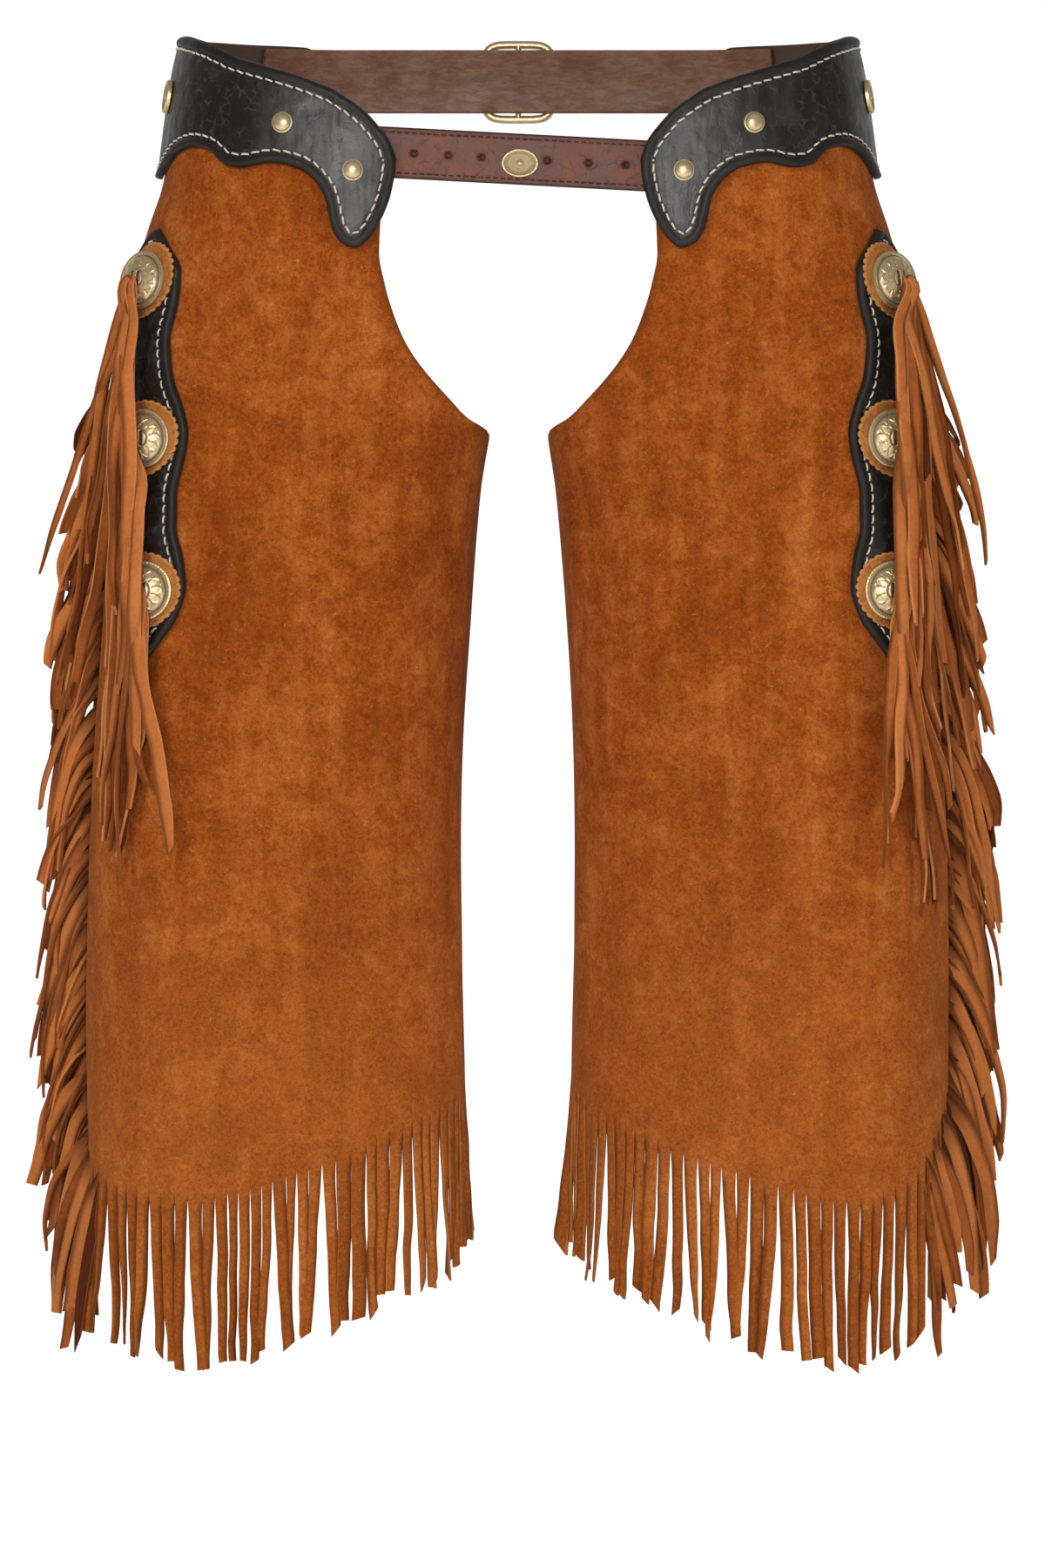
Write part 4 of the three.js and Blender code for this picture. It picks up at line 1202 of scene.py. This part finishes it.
def makeConcho(which, level, matrix):
    radii = np.concatenate([[0.15], np.linspace(0.7, 16.9, 46), [concho["radius"]]])
    points, faces, far = roundPlate(radii, 168, conchoHeight)
    depth = np.clip((conchoDome(far) - points[:, 2]) * 2.3, 0, 1)
    castPiece(f"concho_cast_{level}_{which}", f"concho_{level}_{which}", points, faces, matrix, depth)


def studHeight(r, a):
    inner = stud["radius"] - stud["lip"]
    cap = stud["tall"] * np.sqrt(np.clip(1 - (np.clip(r, 0, inner) / inner) ** 2, 0, 1))
    lip = np.sqrt(np.clip((stud["radius"] - r) / stud["lip"], 0, 1))
    return cap * 0.85 + np.where(r >= inner, 0.35, 0.5) * lip


def makeStud(which, level, matrix):
    radii = np.concatenate([[0.1], np.linspace(stud["radius"] * 0.06, stud["radius"], 22)])
    points, faces, far = roundPlate(radii, 64, studHeight)
    depth = stud["depth"] * bell(far, 5.3, 0.35)
    castPiece(f"stud_dome_{level}_{which}", f"stud_{level}_{which}", points, faces, matrix, depth)


def buttonHeight(r, a):  # a saucer with a raised rim and a knob in its middle
    bowl = 0.5 + button["dish"] * (np.clip(r, 0, 9) / 9) ** 2
    knob = button["knobTall"] * np.sqrt(np.clip(1 - (r / button["knob"]) ** 2, 0, 1))
    saucer = bowl * np.clip((button["radius"] - r) / 0.5, 0, 1) ** 0.5
    return saucer + button["rim"] * bell(r, 9.0, 1.1) * 0.35 + knob - 0.18 * bell(r, 6.2, 0.3)


def makeButton(name, node, matrix, wide, tall):
    radii = np.concatenate([[0.1], np.linspace(0.5, button["radius"], 40)])
    points, faces, far = roundPlate(radii, 72, buttonHeight)
    depth = 0.62 * np.clip((8.6 - far) / 0.8, 0, 1) * np.clip((far - 2.2) / 0.4, 0, 1)
    castPiece(name, node, points * (wide, tall, 1), faces, matrix, depth)


conchoSeats = {}
onYoke = layerGap + yoke["thick"] + 0.45
for which, side in sides.items():
    for level in conchoHeights:
        conchoSeats[which, level] = makeRosette(which, side, level)
        makeConcho(which, level, conchoSeats[which, level])
    for level, place in studPlaces.items():
        makeStud(which, level, seatMatrix(side, *place, onYoke))
    seat = seatMatrix(side, *hipButtonPlace, onYoke + 0.3)
    makeButton("hip_button_brass_" + which, "hip_button_" + which, seat, 0.8, 1.0)
print("rosettes, conchos, studs and buttons made")


# thongs that hang from the conchos

thongs = {"thick": 1.6, "steps": 52, "capAround": 70.0, "wide": 0.7, "between": 0.12}
# each strand, in millimetres: how far from the middle and how low it ends, half its width,
# its turns, and its layer over the leg
thongStrands = {
    ("right", "top"): [
        [276, -280, 3.4, 0.5, 6], [268, -318, 4.6, -0.4, 5], [262, -334, 4.4, 0.5, 3], [257, -348, 5.4, 0.2, 4],
        [264, -300, 4.6, -0.6, 2], [247, -342, 5.6, 0.3, 5], [240, -306, 5.0, 0.6, 7], [233, -341, 5.8, -0.3, 4],
        [227, -352, 6.0, 0.25, 6], [252, -275, 4.2, 0.7, 7],
    ],
    ("right", "middle"): [
        [249, -441, 4.8, 0.4, 3], [243, -430, 5.2, -0.4, 5], [238, -444, 5.0, 0.5, 2], [234, -454, 4.4, 0.8, 6],
        [227, -423, 5.6, -0.3, 4], [246, -404, 5.0, 0.6, 1], [222, -388, 5.6, 0.2, 5], [230, -446, 4.2, -0.9, 1],
    ],
    ("right", "low"): [
        [211, -447, 6.4, 0.3, 4], [231, -449, 4.6, -0.7, 2], [218, -408, 5.4, 0.4, 2], [237, -420, 4.6, 0.5, 1],
    ],
    ("left", "top"): [
        [278, -276, 4.2, 0.4, 6], [261, -278, 5.0, 0.5, 7], [258, -305, 4.6, -0.4, 3], [272, -333, 4.6, 0.3, 4],
        [267, -306, 4.8, -0.5, 2], [250, -337, 5.4, 0.4, 5], [242, -326, 5.4, -0.3, 4], [232, -352, 5.8, 0.3, 5],
        [227, -316, 5.8, 0.2, 7], [262, -350, 4.4, 0.7, 1], [238, -290, 5.2, -0.5, 6],
    ],
    ("left", "middle"): [
        [248, -360, 5.2, 0.5, 6], [243, -377, 5.0, -0.4, 4], [268, -399, 5.2, 0.3, 3], [255, -408, 5.0, 0.6, 2],
        [237, -423, 5.2, -0.5, 3], [229, -393, 5.6, 0.3, 5], [262, -382, 4.6, 0.7, 5], [233, -440, 4.6, 0.8, 1],
    ],
    ("left", "low"): [
        [215, -457, 4.6, 0.6, 4], [234, -452, 5.2, -0.3, 3], [236, -481, 4.0, 0.8, 2], [247, -477, 4.6, -0.6, 1],
        [255, -480, 4.2, 0.5, 2], [224, -428, 5.4, 0.3, 5],
    ],
}


# a point seen at a distance from the middle, held off the leg, or beside it when further out than it reaches
def atWidth(side, x, z, out):
    around = np.linspace(0, thongs["capAround"], 60)
    reach = np.abs(onLeg(side, around, z, out)[:, 0]) / mm
    place = onLeg(side, np.interp(x, reach, around), z, out)
    place[0] += side * max(0.0, x - reach[-1]) * mm
    return place


def smoothLine(points, count):  # a curve through the points, evenly stepped along its length
    gaps = np.linalg.norm(np.diff(points, axis=0), axis=1)
    at = np.concatenate([[0], np.cumsum(np.sqrt(gaps))])
    tangent = np.gradient(points, at, axis=0)
    s = np.linspace(0, at[-1], 300)
    i = np.clip(np.searchsorted(at, s, side="right") - 1, 0, len(at) - 2)
    step = (at[i + 1] - at[i])[:, None]
    fine = hermite((s - at[i])[:, None] / step, step, points[i], points[i + 1], tangent[i], tangent[i + 1])
    length = np.concatenate([[0], np.cumsum(np.linalg.norm(np.diff(fine, axis=0), axis=1))])
    even = np.linspace(0, length[-1], count)
    return np.stack([np.interp(even, length, fine[:, k]) for k in range(3)], -1)


def makeThongs(which, side, level):
    maker = random.Random(sum(map(ord, which + level)))
    seat = conchoSeats[which, level]
    normal = np.array(seat.to_3x3().col[2])
    crown = np.array(seat @ Vector((0, 0, (concho["rim"] + concho["dome"]) * mm)))
    x0, z0 = abs(crown[0]) / mm, crown[2] / mm
    below = [height for height in conchoHeights.values() if height < z0 - 20]
    t = np.linspace(0, 1, thongs["steps"])
    share = np.linspace(0.13, 1.0, 9)
    atRoot = np.clip(1 - t * 3, 0, 1)[:, None]
    outward = unit(unit(normal * 0.55 + np.array([0, -1.0, 0])) * (1 - atRoot) + normal * atRoot)
    bundle = Bundle()
    strands = [tuple(strand) for strand in thongStrands[which, level]]
    for x1, z1, half, turns, layer in list(strands):  # thinner strands that hang between the others
        if maker.random() < thongs["between"]:
            nearby = max(x0 - 4, x1 + maker.uniform(-10, 8)), z1 + maker.uniform(-4, 60)
            strands.append((*nearby, half * maker.uniform(0.6, 0.95), maker.uniform(-0.8, 0.8), layer * 0.5))
    strands.sort(key=lambda strand: strand[-1])
    for rank, (x1, z1, widest, turns, layer) in enumerate(strands):  # each hangs over the ones before
        fan = side * ((x1 - x0) * 0.06 + maker.uniform(-1.6, 1.6))
        start = crown - normal * 2.5 * mm + np.array([fan * 0.4, 0, -1.0]) * mm
        lifted = crown + normal * (1.3 + 0.3 * rank) * mm + np.array([fan * 0.7, 0, 0.4 - 0.2 * rank]) * mm
        over = crown + normal * (1.2 + 0.45 * rank) * mm + np.array([fan * 1.4, 0, -8.0]) * mm
        x = x0 + (x1 - x0) * share ** maker.uniform(0.7, 1.1) + 4.4 * slowNoise(share * 0.6, maker.random())
        x[-1] = x1
        x = x + maker.gauss(0, 3.0) * share**4
        z = z0 - (z0 - z1) * share
        gap = np.interp(share, [0, 0.25, 1], [17, 9 + rank, 4.0 + 1.5 * rank])
        for height in below:  # the conchos further down hold it off
            near = np.clip(1.6 * bell(z, height, 22), 0, 1) * np.clip((248 - x) / 10, 0, 1)
            gap = np.maximum(gap, (18.5 + 0.7 * rank) * near)
        hanging = [atWidth(side, *place) for place in zip(x, z, gap)]
        line = smoothLine(np.array([start, lifted, over, *hanging]), thongs["steps"])
        ends = [0.6, 0.75, 1, 0.95, maker.uniform(0.35, 0.8)]
        half = thongs["wide"] * widest * np.interp(t, [0, 0.05, 0.2, 0.85, 1], ends)
        turn = turns * np.pi * (t - 0.2) + 0.5 * slowNoise(t * 1.4, maker.random())
        turn = turn * np.clip(t * 4 - 0.2, 0, 1)
        across = unit(np.cross(outward, unit(np.gradient(line, axis=0))))
        face = outward * np.cos(turn)[:, None] + across * np.sin(turn)[:, None]
        # strands lower in the stack are painted darker, as shade from those hanging over them, plus a random tone
        tone = 0.05 + 0.85 * rank / (len(strands) - 1) + maker.uniform(-0.2, 0.3)
        cup = maker.choice((-1, 1)) * maker.uniform(0.08, 0.3)
        ribbon(bundle, line, half, face, thongs["thick"], maker.gauss(0, 3.5), tone, cup, maker.choice((-1, 1)))
    made = bundle.finish(f"thong_strands_{level}_{which}", thongSuede)
    givePart(made, "thongs", f"thongs_{level}_{which}")
    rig.sheet(made, held="hung", rests_on=[f"concho_cast_{level}_{which}"], **bundle.cutSize())


for which, side in sides.items():
    for level in conchoHeights:
        makeThongs(which, side, level)
print("thongs made")


# straps and buckles

frontStrap = {
    "half": 92,
    "wide": 30,
    "thick": 3.2,
    "z": -43.3,
    "slope": -0.053,
    "hole": 2.0,
    "holes": (-61, -41, -21.4, 17, 41, 63),
    "stitch": 3.2,
    "button": (1.0, -2.4),
}
legStraps = {"upper": -292, "lower": -452, "wide": 22, "from": 68, "to": 282, "under": 3.6, "buckle": 138}
belt = {"z": 15, "from": 146, "wide": 38, "hole": 2.6, "holes": (28, 52, 76)}
strapFace = float(column(legSections, "z", "face", frontStrap["z"])) + 5.3


def onFrontStrap(x, v, out):
    z = frontStrap["z"] + frontStrap["slope"] * x + v
    return np.stack([x + 0 * v, strapFace - out + 0 * z, z], -1) * mm


# a flat strap with punched holes, a stitched edge, and a button in the middle
def makeFrontStrap():
    spec = frontStrap
    half, wide, thick = spec["half"], spec["wide"], spec["thick"]
    u = np.linspace(0, 2 * half, int(2 * half / 1.1))
    v = edged(40, [0, 0.012, 0.03, 0.05]) * wide - wide / 2
    u, v = np.meshgrid(u, v, indexing="ij")
    far = np.minimum(wide / 2 - np.abs(v), half - np.abs(u - half) + 1)
    rounded = quarterRound(far, 1.3)
    lift = thick / 2 * (0.3 + 0.7 * rounded) - 0.3 * bell(far, 3.2, 0.5) + 0.12 * np.sin(u / 21 + v / 9)
    hole = 0 * u
    for x in spec["holes"]:
        d = np.hypot(u - half - x, v)
        hole = np.maximum(hole, np.clip((spec["hole"] + 0.35 - d) / 0.6, 0, 1))
        lift = lift + 0.22 * bell(d, spec["hole"] + 1.3, 0.8)
    face = onFrontStrap(u - half, v, lift - hole * thick * 0.8)
    back = onFrontStrap(u - half, v, -thick / 2 * (0.4 + 0.6 * rounded))
    made = shell("front_strap_leather", face, back, 1, strapLeather, rimDistance=np.where(hole > 0.4, 0, far))
    givePart(made, "strap_leather", "front_strap")
    bundle = Bundle()
    for edge in (-1, 1):
        for x in np.arange(4, 2 * half - 4, 4.3) - half:
            start, end = onFrontStrap(np.array([x, x + spec["stitch"]]), edge * (wide / 2 - 3.2), 1.45)
            addStitch(bundle, start, end, np.array([0, -1.0, 0]), 0.42, 0.5)
    thread = bundle.finish("front_strap_stitches", brownThread)
    givePart(thread, "strap_leather")
    yokes = ["yoke_leather_right", "yoke_leather_left"]
    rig.sheet(made, flat=(wide * mm, 0.184), held="stretched", rests_on=yokes, with_pieces=[thread])
    matrix = Matrix(((1, 0, 0, 0), (0, 0, -1, 0), (0, 1, 0, 0), (0, 0, 0, 1)))
    x, up = spec["button"]
    matrix.translation = Vector((x, strapFace - 1.7, spec["z"] + up)) * mm
    makeButton("front_button_brass", "front_button", matrix, 1.1, 0.84)


def strapSection(wide, count, near, radius):  # across a strap: place, distance in from its edges, and both faces
    v = edged(count, near) * wide - wide / 2
    far = wide / 2 - np.abs(v)
    rounded = quarterRound(far, radius)
    return v, far, 1.3 * (0.3 + 0.7 * rounded), -1.2 * (0.4 + 0.6 * rounded)


def makeLegStrap(which, side, level):
    spec = legStraps
    around = np.linspace(spec["from"], spec["to"], 130)[:, None]
    v, far, over, under = strapSection(spec["wide"], 14, [0, 0.02, 0.05], 1.2)
    face, flesh = (onLeg(side, around, spec[level] + v, out - spec["under"] - 1.3) for out in (over, under))
    made = shell(f"leg_strap_leather_{level}_{which}", face, flesh, -side, strapLeather, rimDistance=far)
    givePart(made, "strap_leather", f"leg_strap_{level}_{which}")
    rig.sheet(made, flat=(0.022, 0.35), held="hung", rests_on=["leg_panel_suede_" + which])


def makeBackBelt():
    v, far, over, under = strapSection(belt["wide"], 24, [0, 0.012, 0.03], 1.3)
    around = np.linspace(belt["from"], 180, 70)[:, None]
    layers = []
    for out in (over - 1.8, under - 1.8):
        oneEnd, otherEnd = (onLeg(side, a, belt["z"] + v, out) for side, a in ((-1, around), (1, around[::-1])))
        share = np.linspace(0, 1, 120)[1:-1, None, None]
        between = oneEnd[-1] + (otherEnd[0] - oneEnd[-1]) * share
        layers.append(np.concatenate([oneEnd, between, otherEnd]))
    face, flesh = layers
    hole = np.zeros(face.shape[:2])
    for place in belt["holes"]:
        d = np.hypot(face[..., 0] / mm - place, face[..., 2] / mm - belt["z"])
        hole = np.maximum(hole, np.clip((belt["hole"] - d) / 0.7, 0, 1))
    face[..., 1] -= hole * 2.0 * mm
    made = shell("back_belt_leather", face, flesh, 1, strapLeather, rimDistance=np.where(hole > 0.4, 0, far))
    givePart(made, "strap_leather", "back_belt")
    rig.sheet(made, flat=(0.038, 0.33), held="stretched", rests_on=["yoke_leather_right", "yoke_leather_left"])


# a frame bent from wire to a rounded rectangle, its bar, and its prong
def makeBuckle(name, node, matrix, wide, tall, wire):
    up = np.array([0, 0, 1.0])
    turns = np.linspace(0, 2 * np.pi, 97)[:-1]
    c, s = np.cos(turns), np.sin(turns)
    r = (np.abs(c) ** 5 + np.abs(s) ** 5) ** (-0.2)
    path = np.stack([(wide - wire) / 2 * c * r, (tall - wire) / 2 * s * r, 0 * r], -1)
    along = unit(np.roll(path, -1, axis=0) - np.roll(path, 1, axis=0))
    bundle = Bundle()
    outward = np.cross(along, up)[:, None]
    ring = tube(path + up * wire * 0.36, outward * wire / 2, up * wire * 0.36, 10)
    bundle.add(placed(ring.reshape(-1, 3), matrix), tubeFaces(len(path), 10, closed=True), depth=0.05)
    bar = (0, -tall / 2 + wire * 0.6, wire * 0.3), (0, tall / 2 - wire * 0.6, wire * 0.3), wire * 0.36
    prong = (0, 0, wire * 0.7), (wide / 2 - wire * 0.3, 0, wire * 0.9), wire * 0.3
    for start, end, radius in (bar, prong):
        start, end = np.array(start), np.array(end)
        first = unit(np.cross(unit(end - start), np.array([0.3, 0.2, 1.0])))
        second = np.cross(unit(end - start), first)
        rod = tube(start + (end - start) * np.linspace(0, 1, 9)[:, None], first * radius, second * radius, 10)
        bundle.add(placed(rod.reshape(-1, 3), matrix), tubeFaces(9, 10), depth=0.1)
    givePart(bundle.finish(name, brass), "brass", node)


makeFrontStrap()
for which, side in sides.items():
    for level in ("upper", "lower"):
        makeLegStrap(which, side, level)
        seat = seatMatrix(side, legStraps["buckle"], legStraps[level], -legStraps["under"] + 0.6)
        makeBuckle(f"leg_buckle_brass_{level}_{which}", f"leg_buckle_{level}_{which}", seat, 26, 32, 3.6)
makeBackBelt()
seat = Matrix(((-1, 0, 0, 0), (0, 0, 1, 0), (0, 1, 0, 0), (0, 0, 0, 1)))
seat.translation = Vector((0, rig.box("belt_buckle")[0].y, belt["z"] * mm))
makeBuckle("belt_buckle_brass", "belt_buckle", seat, 46, 50, 5)
print("straps and buckles made")


# stage, light and camera

stage = {"floor": -1.0, "near": -4.0, "far": 1.6, "sweep": 1.2, "tall": 4.0, "half": 5, "room": 15}


# a sweep of pale paper that softly bounces the light, in a white room that only the camera sees
def makeStage():
    sweep, floor, room = stage["sweep"], stage["floor"], stage["room"]
    bend = np.linspace(0, math.pi / 2, 16)
    profile = [(stage["near"], 0.0)]
    profile += [(stage["far"] + sweep * math.sin(a), sweep * (1 - math.cos(a))) for a in bend]
    profile.append((stage["far"] + sweep, stage["tall"]))
    n = len(profile)
    vertices = [(x, y, floor + h) for x in (-stage["half"], stage["half"]) for y, h in profile]
    faces = [[i, i + 1, n + i + 1, n + i] for i in range(n - 1)]
    corners = [(x, y, z) for x in (-room, room) for y in (-room, room) for z in (-room, room)]
    walls = [[0, 1, 3, 2], [4, 6, 7, 5], [0, 4, 5, 1], [2, 3, 7, 6], [0, 2, 6, 4], [1, 5, 7, 3]]
    made = []
    for name, grey, glow, points, quads in (
        ("studioPaper", 0.93, 0.05, vertices, faces),
        ("studioRoom", 0.0, 1.2, corners, walls),
    ):
        surface = {"Base Color": (grey, grey, grey, 1), "Roughness": 1.0}
        surface.update({"Emission Color": (1, 1, 1, 1), "Emission Strength": glow})
        made.append(makeObject(name, points, quads, newMaterial(name).finish(surface)))
    paper, walled = made
    paper.visible_camera = False
    walled.visible_diffuse = walled.visible_glossy = walled.visible_transmission = walled.visible_shadow = False
    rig.stage(paper, walled)


def addLight(name, place, size, power, shines=False):
    data = bpy.data.lights.new(name, "AREA")
    data.shape, data.size, data.energy = "SQUARE", size, power
    lamp = bpy.data.objects.new(name, data)
    lamp.location = place
    aim = (cadLow + cadHigh) / 2 - Vector(place)
    lamp.rotation_euler = aim.to_track_quat("-Z", "Y").to_euler()
    lamp.visible_glossy = shines
    bpy.context.scene.collection.objects.link(lamp)


makeStage()
addLight("front", (-0.25, -3.4, 0.35), 1.1, 34, shines=True)
addLight("key", (-1.9, -2.6, 1.5), 0.7, 51.5)
addLight("fill", (2.9, -1.9, 0.3), 1.2, 31)

world = bpy.data.worlds.new("studio")
world.use_nodes = True
background = world.node_tree.nodes["Background"].inputs
background["Color"].default_value = (1, 1, 1, 1)
background["Strength"].default_value = 0.2
scene = bpy.context.scene
scene.world = world
scene.view_settings.view_transform = "Standard"

view = {"distance": 7.0, "tall": 0.918, "sensor": 36}  # metres to the front of the legs, and seen there
cameraData = bpy.data.cameras.new("camera")
cameraData.sensor_width = view["sensor"]
cameraData.lens = view["sensor"] * view["distance"] / view["tall"]
camera = bpy.data.objects.new("camera", cameraData)
camera.location = (0.0025, -0.09 - view["distance"], -0.408)
camera.rotation_euler = (math.radians(90), 0, 0)
scene.collection.objects.link(camera)
scene.camera = camera
print("stage, light and camera made")

low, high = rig.bounds()
with open("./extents.json", "w") as f:
    json.dump({"cad": [list(cadLow), list(cadHigh)], "visual": [list(low), list(high)]}, f)
